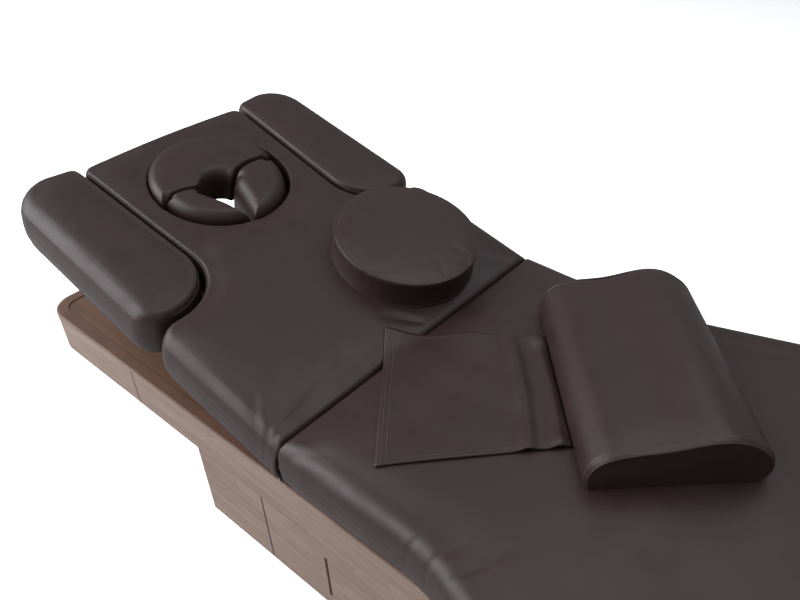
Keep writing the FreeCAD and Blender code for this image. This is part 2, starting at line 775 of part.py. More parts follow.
def build_leg_board():
    """Plywood under the leg pad, on the chassis rails."""
    board = plate(leg_outline(), PAD_LOW_Z, BOARD_TOP_Z, BOARD_INSET)
    start = AXIS_DROP + NOSE_GAP + EDGE_TUCK
    limit = box(start, LEG_LENGTH, -HIP_HALF_WIDTH, HIP_HALF_WIDTH, PAD_LOW_Z, BOARD_TOP_Z)
    return board.common(limit)


def build_leg_pad(board):
    """Leg pad, one long cushion that widens at the hips."""
    body = pad(leg_outline(), PAD_LOW_Z, PAD_HEIGHT).common(nose_limit(1))
    return body.cut(board)


def build_arm(side):
    """Pad, board and slide brackets of one arm rest, flat."""
    outline = arm_outline()
    board = plate(outline, PAD_LOW_Z, BOARD_TOP_Z, BOARD_INSET)
    cushion = pad(outline, PAD_LOW_Z, PAD_HEIGHT + ARM_RISE).cut(board)
    brackets = []
    for station in ROD_STATIONS:
        x0 = -station - BRACKET_HALF_X
        x1 = -station + BRACKET_HALF_X
        low = PAD_LOW_Z - BRACKET_T
        edge = NECK_HALF_FOOT + EDGE_TUCK
        tongue = box(x0, x1, BRACKET_Y_IN, edge, low, PAD_LOW_Z - BRACKET_CLEAR)
        foot = box(x0, x1, edge, BRACKET_Y_OUT, low, PAD_LOW_Z)
        hole = cylinder(ROD_R + RUN_GAP, V(-station, ROD_Y, low - CUT_OVER), V(-station, ROD_Y, PAD_LOW_Z))
        brackets.append(fuse([tongue, foot]).cut(hole))
    pieces = [cushion, board, group(brackets)]
    if side < 0:
        pieces = [mirror_y(piece) for piece in pieces]
    return pieces


def build_arm_rods():
    """Four guide rods that the arm rests slide down on."""
    low = PAD_LOW_Z - BRACKET_T - ARM_TRAVEL - ROD_OVER
    rods = []
    for side in (-1, 1):
        for station in ROD_STATIONS:
            foot = V(-station, side * ROD_Y, low)
            rods.append(cylinder(ROD_R, foot, V(-station, side * ROD_Y, BOARD_TOP_Z)))
    return group(rods)


def build_face_ring():
    """Ring in the recess that carries the face rest."""
    ring = cylinder(RECESS_R - RING_GAP, V(-FACE_S, 0, BOARD_TOP_Z), V(-FACE_S, 0, BOARD_TOP_Z + RING_T))
    hole = oval(-FACE_S, BREATH_HALF_X, BREATH_HALF_Y, BOARD_TOP_Z - CUT_OVER, TOP_Z)
    return ring.cut(hole)


def face_openings(z0, z1):
    """Face hole and the slot that opens it towards the chest."""
    hole = oval(-FACE_S + FACE_HOLE_SHIFT, FACE_HOLE_HALF_X, FACE_HOLE_HALF_Y, z0, z1)
    slot = box(-FACE_S, -FACE_S + RECESS_R, -FACE_SLOT_HALF, FACE_SLOT_HALF, z0, z1)
    return fuse([hole, slot])


def build_face_plate():
    """Thin stiff plate sewn under the face rest."""
    low = BOARD_TOP_Z + RING_T + LOOSE_GAP
    disc = cylinder(FACE_PAD_R - EDGE_TUCK, V(-FACE_S, 0, low), V(-FACE_S, 0, low + PLATE_T))
    return disc.cut(face_openings(low - CUT_OVER, TOP_Z))


def top_edges(shape, z):
    """Edges that lie wholly at or above a height."""
    return [edge for edge in shape.Edges if edge.BoundBox.ZMin > z - RUN_GAP]


def bottom_edges(shape, z):
    """Edges that lie wholly at or below a height."""
    return [edge for edge in shape.Edges if edge.BoundBox.ZMax < z + RUN_GAP]


def build_face_pads():
    """Forehead crescent and the two cheek pads of the face rest."""
    low = BOARD_TOP_Z + RING_T + LOOSE_GAP + PLATE_T
    high = TOP_Z + FACE_PAD_RISE
    disc = cylinder(FACE_PAD_R, V(-FACE_S, 0, low), V(-FACE_S, 0, high))
    disc = disc.makeFillet(FACE_ROUND_TOP, top_edges(disc, high))
    disc = disc.makeFillet(FACE_ROUND_LOW, bottom_edges(disc, low))
    ring = disc.cut(face_openings(low - CUT_OVER, high + CUT_OVER))
    ring = ring.makeFillet(FACE_ROUND_HOLE, top_edges(ring, high))
    seam_x = -FACE_S + FACE_SEAM_SHIFT
    head_x = -FACE_S - RECESS_R
    foot_x = -FACE_S + RECESS_R
    pads = [ring.common(box(head_x, seam_x - FACE_SEAM_HALF, -RECESS_R, RECESS_R, low, high))]
    for side in (-1, 1):
        cheek = box(seam_x + FACE_SEAM_HALF, foot_x, 0, side * RECESS_R, low, high)
        pads.append(ring.common(cheek))
    return pads


def arc_radius(half_chord, rise):
    """Radius of an arc from its half chord and its rise."""
    return (half_chord * half_chord + rise * rise) / (rise + rise)


def build_round_cushion():
    """Round cushion lying loose on the backrest, with rounded edges, a waist and a crown."""
    low = TOP_Z + LOOSE_GAP
    high = low + ROUND_HEIGHT
    centre = V(-ROUND_S, ROUND_Y, 0)
    drum = cylinder(ROUND_R, centre + V(0, 0, low), centre + V(0, 0, high + ROUND_CROWN))
    crown_r = arc_radius(ROUND_R, ROUND_CROWN)
    crown = Part.makeSphere(crown_r, centre + V(0, 0, high + ROUND_CROWN - crown_r))
    drum = drum.common(crown)
    waist_r = arc_radius(0.5 * ROUND_HEIGHT - ROUND_EDGE, ROUND_WAIST)
    ring_r = ROUND_R - ROUND_WAIST + waist_r
    waist = Part.makeTorus(ring_r, waist_r, centre + V(0, 0, low + 0.5 * ROUND_HEIGHT), V(0, 0, 1))
    drum = drum.cut(waist)
    drum = drum.makeFillet(ROUND_EDGE * ROUND_FILLET_SHARE, top_edges(drum, high))
    return drum.makeFillet(ROUND_EDGE * ROUND_FILLET_SHARE, bottom_edges(drum, low))


def pillow_wire(along, share):
    """Cross-section of the neck pillow, upright, at a distance along it."""
    centre_w = 0.5 * PILLOW_WIDTH
    centre_h = 0.5 * PILLOW_HEIGHT
    points = []
    for w_share, h_share in PILLOW_PROFILE_SHARES:
        w = centre_w + (w_share * PILLOW_WIDTH - centre_w) * share
        h = centre_h + (h_share * PILLOW_HEIGHT - centre_h) * share
        points.append(V(along, -w, h))
    curve = Part.BSplineCurve()
    curve.interpolate(points)
    base_h = centre_h - centre_h * share
    base_left = V(along, points[0].y - PILLOW_FOOT, base_h)
    base_right = V(along, points[-1].y + PILLOW_FOOT, base_h)
    return Part.Wire([
        curve.toShape(),
        line_edge(points[-1], base_right),
        line_edge(base_right, base_left),
        line_edge(base_left, points[0]),
    ])


def build_neck_pillow():
    """Neck pillow with a low and a high lobe, lying on the leg pad."""
    stations = (
        (0.0, PILLOW_END_SHARE),
        (PILLOW_END_DRAW, 1.0),
        (PILLOW_LENGTH - PILLOW_END_DRAW, 1.0),
        (PILLOW_LENGTH, PILLOW_END_SHARE),
    )
    wires = [pillow_wire(along, share) for along, share in stations]
    solid = Part.makeLoft(wires, True, True)
    solid.rotate(V(0, 0, 0), V(0, 0, 1), PILLOW_TURN_DEG)
    solid.translate(V(PILLOW_NEAR_X, PILLOW_NEAR_Y, TOP_Z + LOOSE_GAP))
    return solid


def build_pillow_flap(pillow):
    """Leather flap sewn to the pillow, lying over the crease onto the backrest."""
    nose_x = AXIS_DROP * math.sin(REST_TILT)
    nose_z = AXIS_Z + AXIS_DROP * math.cos(REST_TILT)
    flat_z = TOP_Z + FLAP_SEAT
    slope = math.tan(REST_TILT)
    lift = FLAP_SEAT / math.cos(REST_TILT)
    bend_x = nose_x - (flat_z - lift - nose_z) / slope
    end_x = -FLAP_CORNERS[2][0]
    rise = (bend_x - end_x) * slope
    foot_x = FLAP_CORNERS[2][0] + CUT_OVER
    thick = FLAP_T
    profile = [
        (end_x, flat_z + rise),
        (bend_x, flat_z),
        (foot_x, flat_z),
        (foot_x, flat_z + thick),
        (bend_x, flat_z + thick),
        (end_x, flat_z + rise + thick),
    ]
    sheet = side_prism(profile, -HALF_WIDTH, HALF_WIDTH)
    outline = [(x, y, FLAP_CORNER_R, 1.0) for x, y in FLAP_CORNERS]
    cutter = plate(outline, TOP_Z - PAD_HEIGHT, TOP_Z + PAD_HEIGHT)
    return sheet.common(cutter).cut(pillow)


def build_box_shell():
    """Outer boards of the box, all round, with the edge strip beside the rim."""
    outline = cabinet_outline()
    wall = plate(outline, BOX_FLOOR_Z, RIM_LOW_Z).cut(plate(outline, BOX_FLOOR_Z, RIM_LOW_Z, PANEL_T))
    strip = plate(outline, RIM_LOW_Z, BOX_TOP_Z).cut(plate(outline, RIM_LOW_Z, BOX_TOP_Z, EDGE_STRIP))
    return fuse([wall, strip])


def shell_section(shell, x0, x1, y0, y1):
    """Piece of the box shell between two places."""
    return shell.common(box(x0, x1, y0, y1, 0, TOP_Z))


def plinth_leg(x0, x1, corner_x):
    """Lower part of the near side panel, with its outer corner rounded at one end."""
    head_r = PLINTH_CORNER_R if corner_x == x0 else MIN_CORNER_R
    foot_r = PLINTH_CORNER_R if corner_x == x1 else MIN_CORNER_R
    outline = [
        (x0, -CABINET_HALF, head_r, 1.0),
        (x1, -CABINET_HALF, foot_r, 1.0),
        (x1, -INNER_HALF, MIN_CORNER_R, 1.0),
        (x0, -INNER_HALF, MIN_CORNER_R, 1.0),
    ]
    return plate(outline, PLINTH_LIFT, BOX_FLOOR_Z)


def build_side_panel(shell):
    """Near side panel: a long upper band with the two plinth cheeks in one board."""
    x0 = BOX_HEAD_X + END_PIECE + 0.5 * PANEL_SEAM
    x1 = BOX_FOOT_X - END_PIECE - 0.5 * PANEL_SEAM
    band = shell_section(shell, x0, x1, -CABINET_HALF, 0)
    head_leg = plinth_leg(PLINTH_HEAD_X, BAY_HEAD_X, PLINTH_HEAD_X)
    foot_leg = plinth_leg(BAY_FOOT_X, PLINTH_FOOT_X, PLINTH_FOOT_X)
    return fuse([band, head_leg, foot_leg])


def build_rim():
    """Solid wood rim round the top of the box."""
    outline = cabinet_outline()
    outer = plate(outline, RIM_LOW_Z, BOX_TOP_Z, EDGE_STRIP)
    return outer.cut(plate(outline, RIM_LOW_Z, BOX_TOP_Z, EDGE_STRIP + RIM_W))


def build_deck():
    """Deck inside the rim: four boards round the well that the lift carriage sinks into."""
    deck = plate(cabinet_outline(), DECK_LOW_Z, DECK_TOP_Z, EDGE_STRIP + RIM_W + GROOVE)
    spans = (
        (BOX_HEAD_X, WELL_HEAD_X, -CABINET_HALF, CABINET_HALF),
        (WELL_FOOT_X, BOX_FOOT_X, -CABINET_HALF, CABINET_HALF),
        (WELL_HEAD_X, WELL_FOOT_X, -CABINET_HALF, -WELL_HALF),
        (WELL_HEAD_X, WELL_FOOT_X, WELL_HALF, CABINET_HALF),
    )
    boards = [deck.common(box(x0, x1, y0, y1, DECK_LOW_Z, DECK_TOP_Z)) for x0, x1, y0, y1 in spans]
    return group([board.Solids[0] for board in boards])


def build_bearers():
    """Webs and ribs on the box floor that carry the deck."""
    z0 = FLOOR_TOP_Z
    z1 = DECK_LOW_Z
    head = WELL_HEAD_X - WEB_T
    foot = WELL_FOOT_X + WEB_T
    webs = []
    for side in (-1, 1):
        webs.append(box(head, foot, side * WELL_HALF, side * (WELL_HALF + WEB_T), z0, z1))
        for x in RIB_STATIONS + (head + WEB_T, foot):
            webs.append(box(x - WEB_T, x, side * (WELL_HALF + WEB_T), side * INNER_HALF, z0, z1))
        y0 = side * (HEAD_WEB_Y - 0.5 * WEB_T)
        y1 = side * (HEAD_WEB_Y + 0.5 * WEB_T)
        webs.append(box(BOX_HEAD_X + PANEL_T, head, y0, y1, z0, z1))
        webs.append(box(foot, BOX_FOOT_X - PANEL_T, y0, y1, z0, z1))
    webs.append(box(head, WELL_HEAD_X, -WELL_HALF, WELL_HALF, z0, z1))
    webs.append(box(WELL_FOOT_X, foot, -WELL_HALF, WELL_HALF, z0, z1))
    return group(webs)


def build_box_floor():
    """Floor board of the box, with a hole for each lift column."""
    board = plate(cabinet_outline(), BOX_FLOOR_Z, FLOOR_TOP_Z, PANEL_T)
    half_x = 0.5 * COLUMN_X + COLUMN_HOLE_GAP
    half_y = 0.5 * COLUMN_Y + COLUMN_HOLE_GAP
    cuts = [box(x - half_x, x + half_x, -half_y, half_y, BOX_FLOOR_Z, FLOOR_TOP_Z) for x in COLUMN_STATIONS]
    return board.cut(cuts)


def build_plinth_ends():
    """Head and foot boards of the plinth."""
    head = box(PLINTH_HEAD_X, PLINTH_HEAD_X + PANEL_T, -INNER_HALF, INNER_HALF, SKID_T, BOX_FLOOR_Z)
    foot = box(PLINTH_FOOT_X - PANEL_T, PLINTH_FOOT_X, -INNER_HALF, INNER_HALF, SKID_T, BOX_FLOOR_Z)
    half_y = 0.5 * INLET_BODY[1]
    half_z = 0.5 * INLET_BODY[2]
    hole = box(PLINTH_FOOT_X - PANEL_T, PLINTH_FOOT_X, INLET_Y - half_y, INLET_Y + half_y,
               INLET_Z - half_z, INLET_Z + half_z)
    return head, foot.cut(hole)


def build_plinth_floor():
    """Bottom board of the plinth."""
    return box(PLINTH_HEAD_X + PANEL_T, PLINTH_FOOT_X - PANEL_T, -INNER_HALF, INNER_HALF,
               SKID_T, PLINTH_FLOOR_TOP)


def build_skid():
    """Dark foot board, set back, that the whole bed stands on."""
    return box(PLINTH_HEAD_X + SKID_INSET, PLINTH_FOOT_X - SKID_INSET,
               -CABINET_HALF + SKID_INSET, CABINET_HALF - SKID_INSET, 0, SKID_T)


def build_partitions():
    """Upright boards between the drawer bays, and two long ones behind the drawers."""
    z0 = PLINTH_FLOOR_TOP
    boards = [
        box(BAY_HEAD_X - FLOOR_T, BAY_HEAD_X, -INNER_HALF, INNER_HALF, z0, BOX_FLOOR_Z),
        box(BAY_FOOT_X, BAY_FOOT_X + FLOOR_T, -INNER_HALF, INNER_HALF, z0, BOX_FLOOR_Z),
    ]
    for side in (-1, 1):
        y0 = side * (SPINE_Y + SPINE_T)
        boards.append(box(BAY_MID_X - 0.5 * FLOOR_T, BAY_MID_X + 0.5 * FLOOR_T, y0, side * INNER_HALF,
                          z0, BOX_FLOOR_Z))
        boards.append(box(BAY_HEAD_X, BAY_FOOT_X, side * SPINE_Y, y0, z0, BOX_FLOOR_Z))
    return group(boards)


def bay_limits(index):
    """Clear inner width of a drawer bay, head bay first."""
    if index == 0:
        return BAY_HEAD_X, BAY_MID_X - 0.5 * FLOOR_T
    return BAY_MID_X + 0.5 * FLOOR_T, BAY_FOOT_X


def front_limits(index):
    """Width that a drawer front covers, head bay first."""
    x0 = BAY_HEAD_X + index * DRAWER_W
    return x0 + FRONT_GAP, x0 + DRAWER_W - FRONT_GAP


def build_drawer(index, side):
    """Front, tray and moving slides of one drawer."""
    x0, x1 = front_limits(index)
    high = BOX_FLOOR_Z - FRONT_GAP
    front = box(x0, x1, side * INNER_HALF, side * CABINET_HALF, PLINTH_LIFT, high)
    mid = 0.5 * (x0 + x1)
    slot_top = BOX_FLOOR_Z - SLOT_TOP_DROP
    slot_low = slot_top - SLOT_LENGTH
    slot = box(mid - SLOT_HALF, mid + SLOT_HALF, side * INNER_HALF, side * CABINET_HALF,
               slot_low + SLOT_HALF, slot_top - SLOT_HALF)
    ends = [
        cylinder(SLOT_HALF, V(mid, side * INNER_HALF, z), V(mid, side * CABINET_HALF, z))
        for z in (slot_low + SLOT_HALF, slot_top - SLOT_HALF)
    ]
    front = front.cut([slot] + ends)
    b0, b1 = bay_limits(index)
    t0 = b0 + SLIDE_SPACE
    t1 = b1 - SLIDE_SPACE
    back = side * (SPINE_Y + SPINE_T + TRAY_BACK_GAP)
    face = side * INNER_HALF
    low = PLINTH_FLOOR_TOP + TRAY_LOW
    top = BOX_FLOOR_Z - TRAY_TOP_DROP
    tray = box(t0, t1, face, back, low, top)
    hollow = box(t0 + TRAY_WALL, t1 - TRAY_WALL, face - side * TRAY_WALL, back + side * TRAY_WALL,
                 low + TRAY_BASE, top)
    tray = tray.cut(hollow)
    slides = []
    for x, way in ((t0, -1), (t1, 1)):
        start = face - side * SLIDE_END
        slides.append(box(x, x + way * SLIDE_MOVING, start, back, SLIDE_Z, SLIDE_Z + SLIDE_H))
    return [front, tray, group(slides)]


def build_fixed_slides():
    """Fixed halves of the drawer slides on the bay walls."""
    slides = []
    for index in (0, 1):
        b0, b1 = bay_limits(index)
        for side in (-1, 1):
            back = side * (SPINE_Y + SPINE_T + TRAY_BACK_GAP)
            face = side * (INNER_HALF - SLIDE_END)
            for x, way in ((b0, 1), (b1, -1)):
                slides.append(box(x, x + way * SLIDE_FIXED, face, back, SLIDE_Z, SLIDE_Z + SLIDE_H))
    return group(slides)


def column_tube(stage):
    """Tubes of one stage of both lift columns, stage 0 outermost."""
    shrink = stage * (COLUMN_WALL + COLUMN_GAP)
    z0 = PLINTH_FLOOR_TOP + stage * COLUMN_STEP
    tubes = []
    for x in COLUMN_STATIONS:
        half_x = 0.5 * COLUMN_X - shrink
        half_y = 0.5 * COLUMN_Y - shrink
        outer = box(x - half_x, x + half_x, -half_y, half_y, z0, z0 + COLUMN_LENGTH)
        in_x = half_x - COLUMN_WALL
        in_y = half_y - COLUMN_WALL
        bore = box(x - in_x, x + in_x, -in_y, in_y, z0 - CUT_OVER, z0 + COLUMN_LENGTH + CUT_OVER)
        tubes.append(outer.cut(bore))
    return group(tubes)


def build_inner_tubes():
    """Innermost tubes, which reach up to the caps of the chassis."""
    shrink = 2 * (COLUMN_WALL + COLUMN_GAP)
    z0 = PLINTH_FLOOR_TOP + 2 * COLUMN_STEP
    z1 = PAD_LOW_Z - CAP_T
    tubes = []
    for x in COLUMN_STATIONS:
        half_x = 0.5 * COLUMN_X - shrink
        half_y = 0.5 * COLUMN_Y - shrink
        outer = box(x - half_x, x + half_x, -half_y, half_y, z0, z1)
        in_x = half_x - COLUMN_WALL
        in_y = half_y - COLUMN_WALL
        tubes.append(outer.cut(box(x - in_x, x + in_x, -in_y, in_y, z0, z1)))
    return group(tubes)


def build_lift_motors():
    """Motor of each lift column, on the plinth floor beside it."""
    top = PLINTH_FLOOR_TOP + MOTOR_H
    motors = []
    for x, way in zip(COLUMN_STATIONS, (1, -1)):
        x0 = x + way * 0.5 * COLUMN_X
        block = box(x0, x0 + way * MOTOR_LENGTH, -MOTOR_HALF, MOTOR_HALF, PLINTH_FLOOR_TOP, top)
        edges = [edge for edge in top_edges(block, top) if edge.BoundBox.YLength < RUN_GAP]
        motors.append(block.makeFillet(MOTOR_EDGE_R, edges))
    return group(motors)


def build_control_box():
    """Control box on the plinth floor."""
    length, width, height = CONTROL_SIZE
    top = PLINTH_FLOOR_TOP + height
    block = box(CONTROL_X, CONTROL_X + length, CONTROL_Y, CONTROL_Y + width, PLINTH_FLOOR_TOP, top)
    return block.makeFillet(CONTROL_EDGE_R, top_edges(block, top))


def build_mains_inlet():
    """Mains inlet in the foot end of the plinth."""
    flange_t, flange_y, flange_z = INLET_FLANGE
    depth, body_y, body_z = INLET_BODY
    x = PLINTH_FOOT_X
    flange = box(x, x + flange_t, INLET_Y - 0.5 * flange_y, INLET_Y + 0.5 * flange_y,
                 INLET_Z - 0.5 * flange_z, INLET_Z + 0.5 * flange_z)
    body = box(x - depth, x, INLET_Y - 0.5 * body_y, INLET_Y + 0.5 * body_y,
               INLET_Z - 0.5 * body_z, INLET_Z + 0.5 * body_z)
    mouth = box(x + flange_t - INLET_PIN_RECESS, x + flange_t,
                INLET_Y - 0.5 * body_y + INLET_RIM, INLET_Y + 0.5 * body_y - INLET_RIM,
                INLET_Z - 0.5 * body_z + INLET_RIM, INLET_Z + 0.5 * body_z - INLET_RIM)
    return fuse([flange, body]).cut(mouth)


def build_cabinet(nodes):
    """Cabinet box, plinth, and what stands fixed inside them."""
    shell = build_box_shell()
    head_x = BOX_HEAD_X + END_PIECE - 0.5 * PANEL_SEAM
    foot_x = BOX_FOOT_X - END_PIECE + 0.5 * PANEL_SEAM
    side = build_side_panel(shell)
    nodes["side_panel_near"] = side
    nodes["side_panel_far"] = mirror_y(side)
    nodes["head_end_panel"] = shell_section(shell, BOX_HEAD_X, head_x, -CABINET_HALF, CABINET_HALF)
    nodes["foot_end_panel"] = shell_section(shell, foot_x, BOX_FOOT_X, -CABINET_HALF, CABINET_HALF)
    nodes["cabinet_rim"] = build_rim()
    nodes["deck_panel"] = build_deck()
    nodes["deck_bearers"] = build_bearers()
    nodes["box_floor"] = build_box_floor()
    nodes["plinth_head_board"], nodes["plinth_foot_board"] = build_plinth_ends()
    nodes["plinth_floor"] = build_plinth_floor()
    nodes["foot_board"] = build_skid()
    nodes["bay_partitions"] = build_partitions()
    nodes["drawer_slides_fixed"] = build_fixed_slides()
    nodes["lift_columns_outer"] = column_tube(0)
    nodes["lift_motors"] = build_lift_motors()
    nodes["control_box"] = build_control_box()
    nodes["mains_inlet"] = build_mains_inlet()


def build_drawers(nodes):
    """Two drawers on each long side."""
    for side, side_name in ((-1, "near"), (1, "far")):
        for index, end_name in enumerate(("head", "foot")):
            front, tray, slides = build_drawer(index, side)
            label = side_name + "_" + end_name
            nodes["drawer_front_" + label] = front
            nodes["drawer_tray_" + label] = tray
            nodes["drawer_slides_" + label] = slides


def build_lift(nodes):
    """Lifting parts that carry the whole lying surface."""
    board = build_leg_board()
    nodes["lift_columns_middle"] = column_tube(1)
    nodes["lift_columns_inner"] = build_inner_tubes()
    nodes["chassis_frame"] = build_chassis()
    nodes["hinge_bar_screws"] = build_bar_screws()
    nodes["hinge_leaves_fixed"] = build_fixed_leaves()
    nodes["hinge_pins"] = build_hinge_pins()
    nodes["leg_board"] = board
    nodes["leg_pad"] = build_leg_pad(board)
    nodes["back_drive_body"] = build_drive_body()
    nodes["back_drive_rod"] = build_drive_rod()


def build_backrest(nodes):
    """Backrest, arm rests and face rest, turned to the rest pose."""
    nodes["back_board"] = tilt(build_back_board())
    nodes["back_pad"] = tilt(build_back_pad(build_board_space()))
    nodes["back_frame"] = tilt(build_back_frame())
    nodes["back_lever"] = tilt(build_back_lever())
    nodes["hinge_leaves_moving"] = tilt(build_moving_leaves())
    nodes["arm_guide_rods"] = tilt(build_arm_rods())
    nodes["face_ring"] = tilt(build_face_ring())
    for side, name in ((-1, "near"), (1, "far")):
        cushion, board, brackets = build_arm(side)
        nodes["arm_pad_" + name] = tilt(cushion)
        nodes["arm_board_" + name] = tilt(board)
        nodes["arm_brackets_" + name] = tilt(brackets)
    nodes["face_plate"] = tilt(build_face_plate())
    crescent, near_cheek, far_cheek = build_face_pads()
    nodes["face_pad_forehead"] = tilt(crescent)
    nodes["face_pad_cheek_near"] = tilt(near_cheek)
    nodes["face_pad_cheek_far"] = tilt(far_cheek)
    nodes["round_cushion"] = tilt(build_round_cushion())


def build_pillow(nodes):
    """Neck pillow with its flap."""
    pillow = build_neck_pillow()
    nodes["neck_pillow"] = pillow
    nodes["pillow_flap"] = build_pillow_flap(pillow)


def report(name, shape):
    """Print a node's solids, volume and bounds."""
    bounds = shape.optimalBoundingBox()
    spans = [
        "%.1f..%.1f" % (bounds.XMin, bounds.XMax),
        "%.1f..%.1f" % (bounds.YMin, bounds.YMax),
        "%.1f..%.1f" % (bounds.ZMin, bounds.ZMax),
    ]
    print(name, len(shape.Solids), shape.isValid(), round(shape.Volume), " ".join(spans))


def main():
    """Build every node and write one STEP file for each."""
    nodes = {}
    build_cabinet(nodes)
    build_drawers(nodes)
    build_lift(nodes)
    build_backrest(nodes)
    build_pillow(nodes)
    os.makedirs("parts", exist_ok=True)
    for name, shape in nodes.items():
        report(name, shape)
        shape.exportStep("parts/" + name + ".step")
    print("nodes", len(nodes))


main()
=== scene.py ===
"""Looks of a low spa bed: leather pads, a round cushion and a neck pillow on a wooden cabinet.

All lengths are in metres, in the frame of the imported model: +X runs from the head to the foot,
-Y is the near side and +Z is up. The backrest is described flat and then tilted about its hinge.
"""

import json
import logging
import math
from dataclasses import dataclass
from enum import Enum
from typing import Any, Iterable, Sequence

import bmesh
import bpy
import numpy as np
from mathutils import Matrix, Vector
from mathutils.bvhtree import BVHTree
from mathutils.kdtree import KDTree

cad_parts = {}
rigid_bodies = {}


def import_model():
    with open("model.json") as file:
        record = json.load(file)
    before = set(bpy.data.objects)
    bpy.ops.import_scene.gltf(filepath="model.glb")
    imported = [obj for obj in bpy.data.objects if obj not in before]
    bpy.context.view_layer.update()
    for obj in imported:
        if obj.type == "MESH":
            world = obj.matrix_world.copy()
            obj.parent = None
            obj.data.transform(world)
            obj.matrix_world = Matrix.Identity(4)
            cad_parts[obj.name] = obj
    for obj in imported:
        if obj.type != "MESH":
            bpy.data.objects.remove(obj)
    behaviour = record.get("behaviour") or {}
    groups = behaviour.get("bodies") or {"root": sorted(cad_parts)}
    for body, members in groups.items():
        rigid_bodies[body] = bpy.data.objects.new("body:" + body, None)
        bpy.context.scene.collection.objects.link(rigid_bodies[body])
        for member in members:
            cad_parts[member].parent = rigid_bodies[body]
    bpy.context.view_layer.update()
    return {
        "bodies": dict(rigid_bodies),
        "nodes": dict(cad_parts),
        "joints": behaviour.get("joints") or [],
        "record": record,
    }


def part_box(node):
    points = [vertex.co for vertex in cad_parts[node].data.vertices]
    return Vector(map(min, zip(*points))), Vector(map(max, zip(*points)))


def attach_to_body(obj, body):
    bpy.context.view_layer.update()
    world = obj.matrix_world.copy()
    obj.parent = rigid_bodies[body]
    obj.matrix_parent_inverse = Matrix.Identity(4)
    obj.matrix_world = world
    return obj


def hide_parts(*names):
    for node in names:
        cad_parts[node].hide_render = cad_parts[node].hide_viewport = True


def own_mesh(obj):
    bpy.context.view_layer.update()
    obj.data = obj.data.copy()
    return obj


LOG = logging.getLogger("spa_bed")

# Lying surface and hinge
TOP_Z = 0.430
PAD_HEIGHT = 0.110
PAD_LOW_Z = TOP_Z - PAD_HEIGHT
HINGE_Z = 0.412
TILT = math.radians(14.0)
HALF_WIDTH = 0.400
WELL_ROLL = 0.006

# Trim: cord radii, how far it stands off the leather, and how far in from an edge it runs
WELT_R = 0.0018
CUSHION_WELT_R = 0.0019
FACE_WELT_R = 0.0013
EDGE_SEAM_R = 0.0008
WELT_LIFT = 0.0004
TRIM_LIFT = 0.0002
LOW_WELT_Z = PAD_LOW_Z + 0.004
EDGE_SEAM_IN = 0.0045
BACK_STITCH_IN = 0.0105
STAPLE_IN = 0.046
LEG_STAPLE_IN = 0.048
STAPLE_PITCH = 0.030
STAPLE_CROWN = 0.011
STAPLE_WIRE = 0.0009
SCREW_R = 0.0045

Plan = tuple[float, float]
Corner = tuple[float, float, float]


def paint(code: str) -> tuple[float, float, float, float]:
    """Turn a written colour such as "4c4042" into the linear colour that a shader takes.

    Args:
        code: Six hex digits of a display colour.

    Returns:
        Linear red, green, blue and an alpha of one.
    """
    parts = [int(code[i:i + 2], 16) / 255.0 for i in (0, 2, 4)]
    linear = [c / 12.92 if c <= 0.04045 else ((c + 0.055) / 1.055) ** 2.4 for c in parts]
    return linear[0], linear[1], linear[2], 1.0


class Graph:
    """Adds nodes to one node tree and links them."""

    def __init__(self, tree: bpy.types.NodeTree) -> None:
        """Start on a tree and clear what it holds."""
        self.tree = tree
        tree.nodes.clear()

    def add(self, kind: str, inputs: dict[Any, Any] | None = None, **settings: Any) -> bpy.types.Node:
        """Add a node.

        Args:
            kind: The node's type name.
            inputs: Values or sockets for its inputs, by name or number.
            settings: Properties of the node itself.

        Returns:
            The new node.
        """
        node = self.tree.nodes.new(kind)
        for key, value in settings.items():
            setattr(node, key, value)
        for key, value in (inputs or {}).items():
            if isinstance(value, bpy.types.NodeSocket):
                self.tree.links.new(value, node.inputs[key])
            else:
                node.inputs[key].default_value = value
        return node

    def math(self, operation: str, first: Any, second: Any = 0.0) -> bpy.types.NodeSocket:
        """Add a Math node and return its result."""
        return self.add("ShaderNodeMath", {0: first, 1: second}, operation=operation).outputs[0]

    def weigh(self, *terms: tuple[Any, float]) -> bpy.types.NodeSocket:
        """Add up values, each times its weight."""
        total = self.math("MULTIPLY", *terms[0])
        for value, weight in terms[1:]:
            total = self.math("ADD", total, self.math("MULTIPLY", value, weight))
        return total

    def blend(self, share: Any, first: Any, second: Any) -> bpy.types.NodeSocket:
        """Add a colour mix and return its result."""
        node = self.add("ShaderNodeMix", {0: share, 6: first, 7: second}, data_type="RGBA")
        return node.outputs[2]

    def spread(self, value: Any, low: float, high: float, to_low: Any, to_high: Any) -> bpy.types.NodeSocket:
        """Add a Map Range node and return its result."""
        names = {"Value": value, "From Min": low, "From Max": high, "To Min": to_low, "To Max": to_high}
        return self.add("ShaderNodeMapRange", names).outputs[0]

    def noise(self, vector: Any, scale: Any, detail: float = 3.0, twist: float = 0.0) -> bpy.types.NodeSocket:
        """Add a noise texture and return its factor."""
        values = {"Vector": vector, "Scale": scale, "Detail": detail, "Distortion": twist}
        return self.add("ShaderNodeTexNoise", values).outputs[0]

    def stretch(self, vector: Any, scale: Any) -> bpy.types.NodeSocket:
        """Scale a vector by another and return the result."""
        node = self.add("ShaderNodeVectorMath", {0: vector, 1: scale}, operation="MULTIPLY")
        return node.outputs[0]


